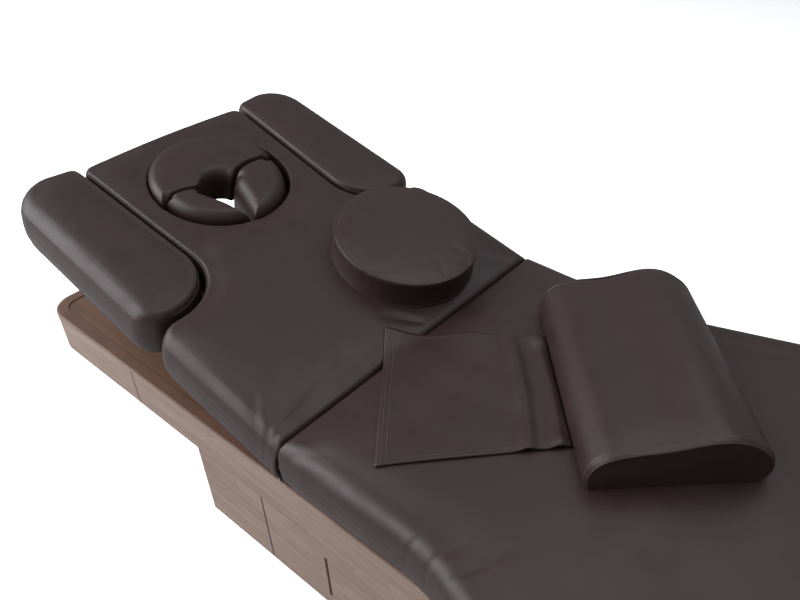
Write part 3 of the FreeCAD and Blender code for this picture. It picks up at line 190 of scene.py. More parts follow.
def new_group(name: str, inputs: dict[str, Any], outputs: dict[str, str]) -> tuple[Graph, Any, Any]:
    """Make an empty shader group with named sockets.

    Args:
        name: Name of the group.
        inputs: For each input its socket type and default value.
        outputs: For each output its socket type.

    Returns:
        The graph of the group, its input node and its output node.
    """
    tree = bpy.data.node_groups.new(name, "ShaderNodeTree")
    for label, (kind, value) in inputs.items():
        socket = tree.interface.new_socket(label, in_out="INPUT", socket_type=kind)
        if value is not None:
            socket.default_value = value
    for label, kind in outputs.items():
        tree.interface.new_socket(label, in_out="OUTPUT", socket_type=kind)
    graph = Graph(tree)
    return graph, graph.add("NodeGroupInput"), graph.add("NodeGroupOutput")


FLOAT = "NodeSocketFloat"
VECTOR = "NodeSocketVector"
COLOUR = "NodeSocketColor"


def veneer_group() -> bpy.types.NodeTree:
    """Wood veneer with long soft streaks, fine pores, staves and a slow change of tone."""
    graph, source, out = new_group(
        "veneer",
        {"Place": (VECTOR, None), "Light": (COLOUR, paint("998a80")), "Dark": (COLOUR, paint("84766c")),
         "Run": (VECTOR, (1.0, 1.0, 24.0)), "Pore": (VECTOR, (6.0, 6.0, 300.0)),
         "Stave": (VECTOR, (5.0, 5.0, 26.0))},
        {"Color": COLOUR, "Height": FLOAT, "Rough": FLOAT},
    )
    place = source.outputs["Place"]
    streak = graph.noise(graph.stretch(place, source.outputs["Run"]), 2.2, 6.0, 0.35)
    pore = graph.noise(graph.stretch(place, source.outputs["Pore"]), 2.0, 2.0)
    slow = graph.noise(place, 1.3, 2.0)
    staves = graph.add("ShaderNodeTexVoronoi", {"Vector": graph.stretch(place, source.outputs["Stave"]),
                                                "Scale": 1.0, "Randomness": 0.8}, distance="CHEBYCHEV")
    stave = graph.spread(staves.outputs["Color"], 0.25, 0.75, 0.0, 1.0)
    tone = graph.spread(graph.weigh((streak, 0.75), (pore, 0.25)), 0.36, 0.64, 0.0, 1.0)
    tone = graph.weigh((tone, 0.58), (slow, 0.14), (stave, 0.28))
    links = graph.tree.links
    links.new(graph.blend(tone, source.outputs["Light"], source.outputs["Dark"]), out.inputs["Color"])
    links.new(graph.spread(pore, 0.3, 0.7, 0.0, 1.0), out.inputs["Height"])
    links.new(graph.spread(streak, 0.3, 0.7, 0.36, 0.5), out.inputs["Rough"])
    return graph.tree


def hide_group() -> bpy.types.NodeTree:
    """Grained upholstery leather: pebbled cells, fine creases and a cloudy tone."""
    graph, source, out = new_group(
        "hide",
        {"Place": (VECTOR, None), "Body": (COLOUR, paint("453a3b")), "Worn": (COLOUR, paint("54484a")),
         "Pebble": (FLOAT, 620.0)},
        {"Color": COLOUR, "Height": FLOAT, "Rough": FLOAT},
    )
    place = source.outputs["Place"]
    cells = graph.add("ShaderNodeTexVoronoi", {"Vector": place, "Scale": source.outputs["Pebble"]})
    cell = graph.spread(cells.outputs["Distance"], 0.0, 0.75, 1.0, 0.0)
    crease = graph.noise(place, graph.math("MULTIPLY", source.outputs["Pebble"], 0.22), 4.0, 0.8)
    cloud = graph.noise(place, 3.2, 3.0)
    patch = graph.noise(place, 17.0, 2.0)
    tone = graph.spread(graph.weigh((cloud, 0.65), (patch, 0.35)), 0.35, 0.65, 0.0, 0.55)
    tone = graph.weigh((tone, 1.0), (cell, 0.18))
    height = graph.weigh((cell, 0.7), (crease, 0.5))
    links = graph.tree.links
    links.new(graph.blend(tone, source.outputs["Body"], source.outputs["Worn"]), out.inputs["Color"])
    links.new(height, out.inputs["Height"])
    links.new(graph.spread(patch, 0.3, 0.7, 0.40, 0.52), out.inputs["Rough"])
    return graph.tree


def handled_group() -> bpy.types.NodeTree:
    """Slightly uneven hard surface: rubbed patches, specks and a fine tooth."""
    graph, source, out = new_group(
        "handled",
        {"Place": (VECTOR, None), "Body": (COLOUR, paint("202020")), "Rubbed": (COLOUR, paint("303030")),
         "Brush": (VECTOR, (60.0, 60.0, 60.0)), "Shiny": (FLOAT, 0.3), "Dull": (FLOAT, 0.5)},
        {"Color": COLOUR, "Height": FLOAT, "Rough": FLOAT},
    )
    place = source.outputs["Place"]
    patch = graph.noise(place, 9.0, 4.0)
    tooth = graph.noise(graph.stretch(place, source.outputs["Brush"]), 12.0, 2.0)
    share = graph.spread(patch, 0.35, 0.7, 0.0, 1.0)
    rough = graph.spread(graph.weigh((patch, 0.6), (tooth, 0.4)), 0.35, 0.65, source.outputs["Shiny"],
                         source.outputs["Dull"])
    links = graph.tree.links
    links.new(graph.blend(share, source.outputs["Body"], source.outputs["Rubbed"]), out.inputs["Color"])
    links.new(tooth, out.inputs["Height"])
    links.new(rough, out.inputs["Rough"])
    return graph.tree


class Groups:
    """The shader groups that the finishes share, each built once."""

    made: dict[str, bpy.types.NodeTree] = {}

    @classmethod
    def get(cls, name: str) -> bpy.types.NodeTree:
        """Build a group the first time it is asked for and return it."""
        makers = {"veneer": veneer_group, "hide": hide_group, "handled": handled_group}
        if name not in cls.made:
            cls.made[name] = makers[name]()
        return cls.made[name]


def surface(name: str, group: str, values: dict[str, Any], bump: float, depth: float,
            shader: dict[str, float]) -> bpy.types.Material:
    """Make a material whose colour, roughness and bump come from one shared group.

    Args:
        name: Name of the material.
        group: Name of the shared group.
        values: Inputs of the group.
        bump: Strength of the bump.
        depth: Depth of the bump in metres.
        shader: Plain values on the shader's own sockets.

    Returns:
        The material.
    """
    material = bpy.data.materials.new(name)
    material.use_nodes = True
    graph = Graph(material.node_tree)
    place = graph.add("ShaderNodeTexCoord").outputs["Object"]
    effect = graph.add("ShaderNodeGroup", node_tree=Groups.get(group))
    graph.tree.links.new(place, effect.inputs["Place"])
    for key, value in values.items():
        effect.inputs[key].default_value = value
    relief = graph.add("ShaderNodeBump", {"Strength": bump, "Distance": depth, "Height": effect.outputs["Height"]})
    links = {"Base Color": effect.outputs["Color"], "Roughness": effect.outputs["Rough"],
             "Normal": relief.outputs["Normal"]}
    bsdf = graph.add("ShaderNodeBsdfPrincipled", {**links, **shader})
    graph.add("ShaderNodeOutputMaterial", {"Surface": bsdf.outputs["BSDF"]})
    return material


@dataclass(frozen=True)
class VeneerFinish:
    """Wood veneer, with the direction that its grain runs in."""

    name: str
    light: str
    dark: str
    run: tuple[float, float, float]
    pore: tuple[float, float, float]
    coat: float = 0.12
    stave: tuple[float, float, float] = (6.0, 6.0, 30.0)

    def material(self) -> bpy.types.Material:
        """Make the material."""
        values = {"Light": paint(self.light), "Dark": paint(self.dark), "Run": self.run, "Pore": self.pore,
                  "Stave": self.stave}
        return surface(self.name, "veneer", values, 0.12, 0.0003, {"Coat Weight": self.coat, "Coat Roughness": 0.3})


@dataclass(frozen=True)
class LeatherFinish:
    """Grained upholstery leather."""

    name: str
    body: str
    worn: str
    pebble: float = 620.0
    bump: float = 0.16

    def material(self) -> bpy.types.Material:
        """Make the material."""
        values = {"Body": paint(self.body), "Worn": paint(self.worn), "Pebble": self.pebble}
        return surface(self.name, "hide", values, self.bump, 0.0004,
                       {"Specular IOR Level": 0.5, "Coat Weight": 0.10, "Coat Roughness": 0.42})


@dataclass(frozen=True)
class HardFinish:
    """Metal, plastic, laminate or thread."""

    name: str
    body: str
    rubbed: str
    brush: tuple[float, float, float] = (60.0, 60.0, 60.0)
    shiny: float = 0.35
    dull: float = 0.55
    metallic: float = 0.0
    bump: float = 0.1

    def material(self) -> bpy.types.Material:
        """Make the material."""
        values = {"Body": paint(self.body), "Rubbed": paint(self.rubbed), "Brush": self.brush,
                  "Shiny": self.shiny, "Dull": self.dull}
        return surface(self.name, "handled", values, self.bump, 0.0002, {"Metallic": self.metallic})


FINISHES = {
    "cabinet_wood": VeneerFinish("cabinet_veneer", "ab9387", "8a7264", (1.6, 1.6, 74.0), (9.0, 9.0, 620.0)),
    "deck_wood": VeneerFinish("deck_veneer", "7a5b45", "5c4334", (1.2, 22.0, 22.0), (6.0, 300.0, 300.0), 0.25,
                              (4.0, 24.0, 24.0)),
    "rim_wood": VeneerFinish("rim_veneer", "7c5a4a", "5d4438", (3.0, 3.0, 40.0), (40.0, 40.0, 300.0), 0.2),
    "plywood": VeneerFinish("birch_plywood", "b39a7a", "977c5b", (1.5, 18.0, 90.0), (8.0, 240.0, 600.0), 0.0,
                            (0.4, 0.4, 0.4)),
    "dark_laminate": HardFinish("dark_laminate", "1c1918", "2a2624", shiny=0.45, dull=0.7),
    "bright_steel": HardFinish("bright_steel", "a9abad", "c0c1c2", (12.0, 12.0, 260.0), 0.25, 0.42, 1.0, 0.05),
    "black_steel": HardFinish("black_powder_coat", "141414", "232323", (120.0, 120.0, 120.0), 0.42, 0.6, 0.0, 0.2),
    "black_plastic": HardFinish("black_plastic", "17181a", "242527", (90.0, 90.0, 90.0), 0.4, 0.58, 0.0, 0.12),
    "leather": LeatherFinish("brown_leather", "332121", "3c2929"),
    "thread": HardFinish("sewing_thread", "574c4e", "6b6063", (400.0, 400.0, 400.0), 0.45, 0.7, 0.0, 0.3),
    "welt": LeatherFinish("welt_leather", "352525", "402e2f", 900.0, 0.1),
    # Lighter than the leather: the edge seam cord is real, and its lighter colour is partly a painted highlight
    # along the rolled edges.
    "piping": LeatherFinish("piping_leather", "4c4143", "5d5255", 900.0, 0.1),
    # Painted shadow: near-black strips that stand in for the shade inside joints and gaps.
    "seam_shadow": HardFinish("seam_shadow", "1d1714", "2b231f", shiny=0.6, dull=0.8),
    "staple": HardFinish("staple_steel", "8e8f90", "a8a9aa", (40.0, 40.0, 40.0), 0.3, 0.45, 1.0, 0.05),
}


# Nodes whose finish differs from that of their slot
NODE_FINISHES = {"cabinet_rim": "rim_wood"}


class Shelf:
    """Materials by the name of their finish, each made once."""

    made: dict[str, bpy.types.Material] = {}

    @classmethod
    def get(cls, name: str) -> bpy.types.Material:
        """Make a material the first time it is asked for and return it."""
        if name not in cls.made:
            cls.made[name] = FINISHES[name].material()
        return cls.made[name]


@dataclass(frozen=True)
class Plane:
    """The flat frame that a pad is described in, turned about the hinge by its tilt."""

    tilt: float = 0.0

    def place(self, x: float, y: float, z: float) -> Vector:
        """Turn a flat point into one of the model's frame."""
        rise = z - HINGE_Z
        cos, sin = math.cos(self.tilt), math.sin(self.tilt)
        return Vector((x * cos + rise * sin, y, HINGE_Z - x * sin + rise * cos))

    def raised(self, flat: np.ndarray) -> np.ndarray:
        """Turn an array of flat points into points of the model's frame."""
        rise = flat[:, 2] - HINGE_Z
        cos, sin = math.cos(self.tilt), math.sin(self.tilt)
        return np.stack([flat[:, 0] * cos + rise * sin, flat[:, 1], HINGE_Z - flat[:, 0] * sin + rise * cos], axis=1)

    def normal(self) -> Vector:
        """Upward direction of the pad."""
        return Vector((math.sin(self.tilt), 0.0, math.cos(self.tilt)))

    def flatten(self, points: np.ndarray) -> np.ndarray:
        """Turn points of the model's frame back to the flat frame.

        Args:
            points: An array of points, one to a row.

        Returns:
            The same points, flat.
        """
        rise = points[:, 2] - HINGE_Z
        cos, sin = math.cos(self.tilt), math.sin(self.tilt)
        return np.stack([points[:, 0] * cos - rise * sin, points[:, 1],
                         HINGE_Z + points[:, 0] * sin + rise * cos], axis=1)


LEVEL = Plane()
RAISED = Plane(TILT)


def link(name: str, mesh: bpy.types.Mesh) -> bpy.types.Object:
    """Put a mesh in the scene under a name."""
    obj = bpy.data.objects.new(name, mesh)
    bpy.context.scene.collection.objects.link(obj)
    return obj


def kept(name: str, mesh: bmesh.types.BMesh) -> bpy.types.Mesh:
    """Keep a mesh under construction as a mesh of its own and free it."""
    made = bpy.data.meshes.new(name)
    mesh.to_mesh(made)
    mesh.free()
    return made


def points_of(mesh: bpy.types.Mesh) -> np.ndarray:
    """Read a mesh's points as an array."""
    flat = np.zeros(len(mesh.vertices) * 3, np.float32)
    mesh.vertices.foreach_get("co", flat)
    return flat.reshape(-1, 3).astype(float)


def set_points(mesh: bpy.types.Mesh, points: np.ndarray) -> None:
    """Write a mesh's points."""
    mesh.vertices.foreach_set("co", points.astype(np.float32).ravel())
    mesh.update()


def normals_of(mesh: bpy.types.Mesh) -> np.ndarray:
    """Read the normals at a mesh's points."""
    flat = np.zeros(len(mesh.vertices) * 3, np.float32)
    mesh.vertex_normals.foreach_get("vector", flat)
    return flat.reshape(-1, 3).astype(float)


def bake(obj: bpy.types.Object) -> bpy.types.Object:
    """Turn an object's modifiers into its own mesh.

    Args:
        obj: The object, which keeps its name.

    Returns:
        The same object with a plain mesh and no modifiers.
    """
    graph = bpy.context.evaluated_depsgraph_get()
    graph.update()
    mesh = bpy.data.meshes.new_from_object(obj.evaluated_get(graph))
    obj.modifiers.clear()
    obj.data = mesh
    return obj


def dress(obj: bpy.types.Object, finish: str) -> None:
    """Give an object one material, smooth faces and no others."""
    obj.data.materials.clear()
    obj.data.materials.append(Shelf.get(finish))
    obj.data.polygons.foreach_set("use_smooth", [True] * len(obj.data.polygons))
    obj.data.update()


def surface_of(obj: bpy.types.Object) -> BVHTree:
    """Search tree over an object's faces."""
    mesh = bmesh.new()
    mesh.from_mesh(obj.data)
    tree = BVHTree.FromBMesh(mesh)
    mesh.free()
    return tree


def ends_of(mesh: bpy.types.Mesh) -> np.ndarray:
    """Read the two points of every edge of a mesh."""
    ends = np.zeros(len(mesh.edges) * 2, np.int32)
    mesh.edges.foreach_get("vertices", ends)
    return ends.reshape(-1, 2)


def around(ends: np.ndarray, values: np.ndarray) -> np.ndarray:
    """Mean of the values at each point's neighbours.

    Args:
        ends: The two points of every edge.
        values: One row of values for each point.

    Returns:
        One row of means for each point.
    """
    size = len(values)
    count = np.maximum(np.bincount(ends.ravel(), minlength=size), 1.0)
    columns = [np.bincount(ends[:, 0], column[ends[:, 1]], size) + np.bincount(ends[:, 1], column[ends[:, 0]], size)
               for column in values.T]
    return np.stack(columns, axis=1) / count[:, None]


def evened(mesh: bpy.types.Mesh, values: np.ndarray, rounds: int) -> np.ndarray:
    """Spread values over a mesh until they change softly from point to point."""
    ends = ends_of(mesh)
    for _ in range(rounds):
        values = 0.5 * values + 0.5 * around(ends, values)
    return values


def carried(spots: np.ndarray, values: np.ndarray, targets: np.ndarray) -> np.ndarray:
    """Carry values from one set of points to another by the four nearest of each.

    Args:
        spots: Points that have values.
        values: One row of values for each of them.
        targets: Points that want values.

    Returns:
        One row of values for each target.
    """
    tree = KDTree(len(spots))
    for number, spot in enumerate(spots):
        tree.insert(spot, number)
    tree.balance()
    rows = np.zeros((len(targets), 4), np.int32)
    shares = np.zeros((len(targets), 4))
    for number, target in enumerate(targets):
        for place, (_, index, gap) in enumerate(tree.find_n(target, 4)):
            rows[number, place] = index
            shares[number, place] = 1.0 / (gap + 0.0008)
    shares /= shares.sum(axis=1, keepdims=True)
    return (values[rows] * shares[:, :, None]).sum(axis=1)


def relax(mesh: bpy.types.Mesh, rounds: int, share: float = 0.5) -> None:
    """Even out a mesh by moving each point towards the mean of its neighbours, in and out again.

    Args:
        mesh: The mesh.
        rounds: How many passes to make.
        share: How far a point moves in each pass.
    """
    ends = ends_of(mesh)
    points = points_of(mesh)
    for number in range(rounds * 2):
        way = share if number % 2 == 0 else -share * 1.04
        points += way * (around(ends, points) - points)
    set_points(mesh, points)


def corner_path(corners: Sequence[Corner], closed: bool, step: float = 0.006) -> list[Plan]:
    """Walk an outline of straight runs and round corners.

    Args:
        corners: Points with a corner radius each.
        closed: Whether the last point joins the first.
        step: Spacing of the points on the arcs.

    Returns:
        Points along the outline.
    """
    path: list[Plan] = []
    count = len(corners)
    for index, (x, y, radius) in enumerate(corners):
        here = Vector((x, y))
        if not closed and index in (0, count - 1):
            path.append((x, y))
            continue
        back = (Vector(corners[index - 1][:2]) - here).normalized()
        ahead = (Vector(corners[(index + 1) % count][:2]) - here).normalized()
        half = 0.5 * back.angle(ahead)
        reach = radius / math.tan(half)
        middle = here + (back + ahead).normalized() * (radius / math.sin(half))
        first, last = here + back * reach - middle, here + ahead * reach - middle
        sweep = first.angle_signed(last)
        steps = max(3, int(abs(sweep) * radius / step))
        for number in range(steps + 1):
            turned = first.copy()
            turned.rotate(Matrix.Rotation(-sweep * number / steps, 2))
            path.append((middle.x + turned.x, middle.y + turned.y))
    spots = even_path([Vector(spot) for spot in (path + path[:1] if closed else path)], step)
    return [(spot.x, spot.y) for spot in (spots[:-1] if closed else spots)]


def shift_path(path: Sequence[Plan], inset: float, closed: bool) -> list[Plan]:
    """Move a path to its left, which is inwards on an anticlockwise outline."""
    moved: list[Plan] = []
    count = len(path)
    for index, (x, y) in enumerate(path):
        before = path[index - 1] if closed or index else path[index]
        after = path[(index + 1) % count] if closed or index < count - 1 else path[index]
        way = Vector((after[0] - before[0], after[1] - before[1])).normalized()
        moved.append((x - way.y * inset, y + way.x * inset))
    return moved


def even_path(path: Sequence[Vector], step: float) -> list[Vector]:
    """Space points evenly along a path of straight runs."""
    spots = np.array([list(p) for p in path])
    runs = np.linalg.norm(np.diff(spots, axis=0), axis=1)
    along = np.concatenate([[0.0], np.cumsum(runs)])
    count = max(2, int(along[-1] / step) + 1)
    wanted = np.linspace(0.0, along[-1], count)
    columns = [np.interp(wanted, along, spots[:, axis]) for axis in range(spots.shape[1])]
    return [Vector(row) for row in np.stack(columns, axis=1)]


class Trees:
    """Geometry Nodes trees for what repeats or follows a path, each built once."""

    made: dict[str, bpy.types.NodeTree] = {}

    @staticmethod
    def start(name: str, inputs: dict[str, tuple[str, Any]]) -> tuple[Graph, Any, Any]:
        """Make a tree with a geometry input and output and named inputs between them."""
        tree = bpy.data.node_groups.new(name, "GeometryNodeTree")
        tree.interface.new_socket("Path", in_out="INPUT", socket_type="NodeSocketGeometry")
        for label, (kind, value) in inputs.items():
            socket = tree.interface.new_socket(label, in_out="INPUT", socket_type=kind)
            if value is not None:
                socket.default_value = value
        tree.interface.new_socket("Made", in_out="OUTPUT", socket_type="NodeSocketGeometry")
        graph = Graph(tree)
        return graph, graph.add("NodeGroupInput"), graph.add("NodeGroupOutput")

    @staticmethod
    def close(graph: Graph, made: Any, material: Any, out: Any) -> None:
        """End a tree in smooth shading, real geometry and a material."""
        real = graph.add("GeometryNodeRealizeInstances", {0: made}).outputs[0]
        smooth = graph.add("GeometryNodeSetShadeSmooth", {0: real}).outputs[0]
        dressed = graph.add("GeometryNodeSetMaterial", {"Geometry": smooth, "Material": material}).outputs[0]
        graph.tree.links.new(dressed, out.inputs[0])

    @classmethod
    def welt(cls) -> bpy.types.NodeTree:
        """A round cord along each path."""
        graph, source, out = cls.start("welt_cord", {
            "Radius": (FLOAT, 0.0015), "Step": (FLOAT, 0.005), "Material": ("NodeSocketMaterial", None)})
        line = graph.add("GeometryNodeMeshToCurve", {0: source.outputs["Path"]}).outputs[0]
        even = graph.add("GeometryNodeResampleCurve", {"Curve": line, "Length": source.outputs["Step"]},
                         mode="LENGTH")
        ring = graph.add("GeometryNodeCurvePrimitiveCircle", {"Resolution": 8, "Radius": source.outputs["Radius"]})
        tube = graph.add("GeometryNodeCurveToMesh", {
            "Curve": even.outputs[0], "Profile Curve": ring.outputs[0], "Fill Caps": True})
        cls.close(graph, tube.outputs[0], source.outputs["Material"], out)
        return graph.tree

    @classmethod
    def stitch(cls) -> bpy.types.NodeTree:
        """Short lengths of thread laid end to end along each path."""
        graph, source, out = cls.start("stitch_row", {
            "Pitch": (FLOAT, 0.0045), "Length": (FLOAT, 0.0033), "Thread": (FLOAT, 0.0005),
            "Material": ("NodeSocketMaterial", None)})
        line = graph.add("GeometryNodeMeshToCurve", {0: source.outputs["Path"]}).outputs[0]
        spots = graph.add("GeometryNodeCurveToPoints", {"Curve": line, "Length": source.outputs["Pitch"]},
                          mode="LENGTH")
        turn = graph.add("FunctionNodeAlignRotationToVector", {"Vector": spots.outputs["Tangent"]}, axis="Z")
        thread = graph.add("GeometryNodeMeshCylinder", {
            "Vertices": 6, "Radius": source.outputs["Thread"], "Depth": source.outputs["Length"]})
        rows = graph.add("GeometryNodeInstanceOnPoints", {
            "Points": spots.outputs["Points"], "Instance": thread.outputs["Mesh"], "Rotation": turn.outputs[0]})
        cls.close(graph, rows.outputs[0], source.outputs["Material"], out)
        return graph.tree

    @classmethod
    def fastener(cls) -> bpy.types.NodeTree:
        """One copy of a fastener at each point, facing the way stored on the point."""
        graph, source, out = cls.start("fastener_set", {
            "Fastener": ("NodeSocketObject", None), "Size": (FLOAT, 1.0), "Material": ("NodeSocketMaterial", None)})
        head = graph.add("GeometryNodeObjectInfo", {"Object": source.outputs["Fastener"]}).outputs["Geometry"]
        facing = graph.add("GeometryNodeInputNamedAttribute", {"Name": "facing"}, data_type="FLOAT_VECTOR")
        along = graph.add("GeometryNodeInputNamedAttribute", {"Name": "along"}, data_type="FLOAT_VECTOR")
        turn = graph.add("FunctionNodeAlignRotationToVector", {"Vector": facing.outputs[0]}, axis="Z")
        roll = graph.add("FunctionNodeAlignRotationToVector", {
            "Rotation": turn.outputs[0], "Vector": along.outputs[0]}, axis="X", pivot_axis="Z")
        heads = graph.add("GeometryNodeInstanceOnPoints", {
            "Points": source.outputs["Path"], "Instance": head, "Rotation": roll.outputs[0],
            "Scale": source.outputs["Size"]})
        cls.close(graph, heads.outputs[0], source.outputs["Material"], out)
        return graph.tree

    @classmethod
    def get(cls, name: str) -> bpy.types.NodeTree:
        """Build a tree the first time it is asked for and return it."""
        if name not in cls.made:
            cls.made[name] = getattr(cls, name)()
        return cls.made[name]


def run_tree(name: str, tree: bpy.types.NodeTree, base: bpy.types.Mesh, values: dict[str, Any]) -> bpy.types.Object:
    """Run a tree on a base mesh and keep the result as a plain mesh.

    Args:
        name: Name of the piece.
        tree: The tree.
        base: Mesh of paths or points that it works on.
        values: The tree's inputs by their names.

    Returns:
        The finished piece, with no modifier.
    """
    obj = link(name, base)
    modifier = obj.modifiers.new("made", "NODES")
    modifier.node_group = tree
    for item in tree.interface.items_tree:
        if item.in_out == "INPUT" and item.name in values:
            modifier[item.identifier] = values[item.name]
    return bake(obj)


def path_mesh(paths: Iterable[tuple[Sequence[Vector], bool]]) -> bpy.types.Mesh:
    """Mesh of edges along several paths, each open or closed."""
    points: list[Vector] = []
    edges: list[tuple[int, int]] = []
    for path, closed in paths:
        first = len(points)
        points.extend(path)
        edges.extend((first + i, first + i + 1) for i in range(len(path) - 1))
        if closed:
            edges.append((first + len(path) - 1, first))
    mesh = bpy.data.meshes.new("paths")
    mesh.from_pydata(points, edges, [])
    return mesh


Paths = list[tuple[Sequence[Vector], bool]]


def welt(name: str, paths: Paths, radius: float, step: float = 0.005, finish: str = "welt") -> bpy.types.Object:
    """Welt cord along paths."""
    values = {"Radius": radius, "Step": step, "Material": Shelf.get(finish)}
    return run_tree(name, Trees.get("welt"), path_mesh(paths), values)


def stitches(name: str, paths: Paths, pitch: float = 0.0045, thread: float = 0.0005) -> bpy.types.Object:
    """Row of stitches along paths."""
    values = {"Pitch": pitch, "Length": pitch * 0.74, "Thread": thread, "Material": Shelf.get("thread")}
    return run_tree(name, Trees.get("stitch"), path_mesh(paths), values)


def fasteners(name: str, spots: Sequence[tuple[Vector, Vector, Vector]], head: bpy.types.Mesh,
              finish: str) -> bpy.types.Object:
    """Copies of one fastener at spots that give a place, the way it faces and the way it lies."""
    mesh = bpy.data.meshes.new("spots")
    mesh.from_pydata([place for place, facing, along in spots], [], [])
    for label, column in (("facing", 1), ("along", 2)):
        attribute = mesh.attributes.new(label, "FLOAT_VECTOR", "POINT")
        attribute.data.foreach_set("vector", [c for spot in spots for c in spot[column]])
    pattern = link(name + "_pattern", head)
    made = run_tree(name, Trees.get("fastener"), mesh,
                    {"Fastener": pattern, "Size": 1.0, "Material": Shelf.get(finish)})
    bpy.data.objects.remove(pattern)
    return made


def screw_head(radius: float) -> bpy.types.Mesh:
    """Low round screw head with a six-sided recess.

    Args:
        radius: Radius of the head.

    Returns:
        A closed mesh that stands on z = 0.
    """
    rings = ((1.0, 0.0, 12), (1.0, 0.18, 12), (0.84, 0.42, 12), (0.52, 0.52, 12), (0.40, 0.52, 6), (0.36, 0.2, 6))
    mesh = bmesh.new()
    loops = []
    for share, height, sides in rings:
        loop = []
        for index in range(12):
            angle = math.tau * (index // (12 // sides) * (12 // sides)) / 12 if sides == 6 else math.tau * index / 12
            reach = share * radius
            loop.append(mesh.verts.new((reach * math.cos(angle), reach * math.sin(angle), height * radius)))
        loops.append(loop)
    for lower, upper in zip(loops, loops[1:]):
        for index in range(12):
            after = (index + 1) % 12
            mesh.faces.new((lower[index], lower[after], upper[after], upper[index]))
    mesh.faces.new(list(reversed(loops[0])))
    mesh.faces.new(loops[-1])
    bmesh.ops.remove_doubles(mesh, verts=mesh.verts, dist=radius * 0.001)
    bmesh.ops.recalc_face_normals(mesh, faces=mesh.faces)
    return kept("screw_head", mesh)


def staple(crown: float, wire: float) -> bpy.types.Mesh:
    """Flat crown of an upholstery staple, lying along X with its ends bent down."""
    half = 0.5 * crown
    profile = [(-half, -wire), (-half, wire * 0.6), (-half + wire, wire), (half - wire, wire), (half, wire * 0.6),
               (half, -wire), (half - wire, -wire), (half - wire, 0.0), (-half + wire, 0.0), (-half + wire, -wire)]
    mesh = bmesh.new()
    sides = [[mesh.verts.new((x, way * wire, z)) for x, z in profile] for way in (-0.5, 0.5)]
    count = len(profile)
    for index in range(count):
        after = (index + 1) % count
        mesh.faces.new((sides[0][index], sides[1][index], sides[1][after], sides[0][after]))
    mesh.faces.new(sides[0])
    mesh.faces.new(list(reversed(sides[1])))
    bmesh.ops.recalc_face_normals(mesh, faces=mesh.faces)
    return kept("staple", mesh)


# Face rest: middle of the ring and the band where its seams lie
FACE_CENTRE = (-0.633, 0.0)
SEAM_BAND = (-0.652, -0.618)
SEAM_FROM_Y = 0.026
SEAM_TO_R = 0.141


def is_seam(place: np.ndarray) -> bool:
    """Tell whether an edge of a face pad lies on a seam with its neighbour."""
    reach = math.hypot(place[0] - FACE_CENTRE[0], place[1] - FACE_CENTRE[1])
    return SEAM_BAND[0] < place[0] < SEAM_BAND[1] and abs(place[1]) > SEAM_FROM_Y and reach < SEAM_TO_R


@dataclass(frozen=True)
class Blank:
    """Foam cut to an outline and rounded over towards its edge."""

    outline: tuple[Plan, ...]
    low: float
    high: float
    roll: float
    edge_share: float = 0.42
    power: float = 2.2
    seam_roll: float = 0.0

    def solid(self, name: str, plane: Plane) -> bpy.types.Mesh:
        """Straight-sided mesh with the outline's shape."""
        count = len(self.outline)
        points = [plane.place(x, y, self.low) for x, y in self.outline]
        points += [plane.place(x, y, self.high) for x, y in self.outline]
        faces = [tuple(reversed(range(count))), tuple(range(count, 2 * count))]
        for index in range(count):
            after = (index + 1) % count
            faces.append((index, after, count + after, count + index))
        mesh = bpy.data.meshes.new(name)
        mesh.from_pydata(points, [], faces)
        return mesh

    def round_over(self, flat: np.ndarray) -> np.ndarray:
        """Lower points near the outline so that the top falls away in a soft curve.

        Args:
            flat: Points in the flat frame.

        Returns:
            How far each point goes down.
        """
        ring = np.array(self.outline)
        ahead = np.roll(ring, -1, axis=0) - ring
        length = np.maximum((ahead ** 2).sum(axis=1), 1e-12)
        far = np.full(len(flat), np.inf)
        for start, way, square in zip(ring, ahead, length):
            roll = self.seam_roll if self.seam_roll and is_seam(start + 0.5 * way) else self.roll
            share = np.clip((flat[:, :2] - start) @ way / square, 0.0, 1.0)
            gap = flat[:, :2] - start - np.outer(share, way)
            far = np.minimum(far, np.sqrt((gap ** 2).sum(axis=1)) / roll)
        inward = 1.0 - np.clip(far, 0.0, 1.0)
        dome = (1.0 - inward ** self.power) ** (1.0 / self.power)
        kept = self.edge_share + (1.0 - self.edge_share) * dome
        return np.maximum(flat[:, 2] - self.low, 0.0) * (1.0 - kept)


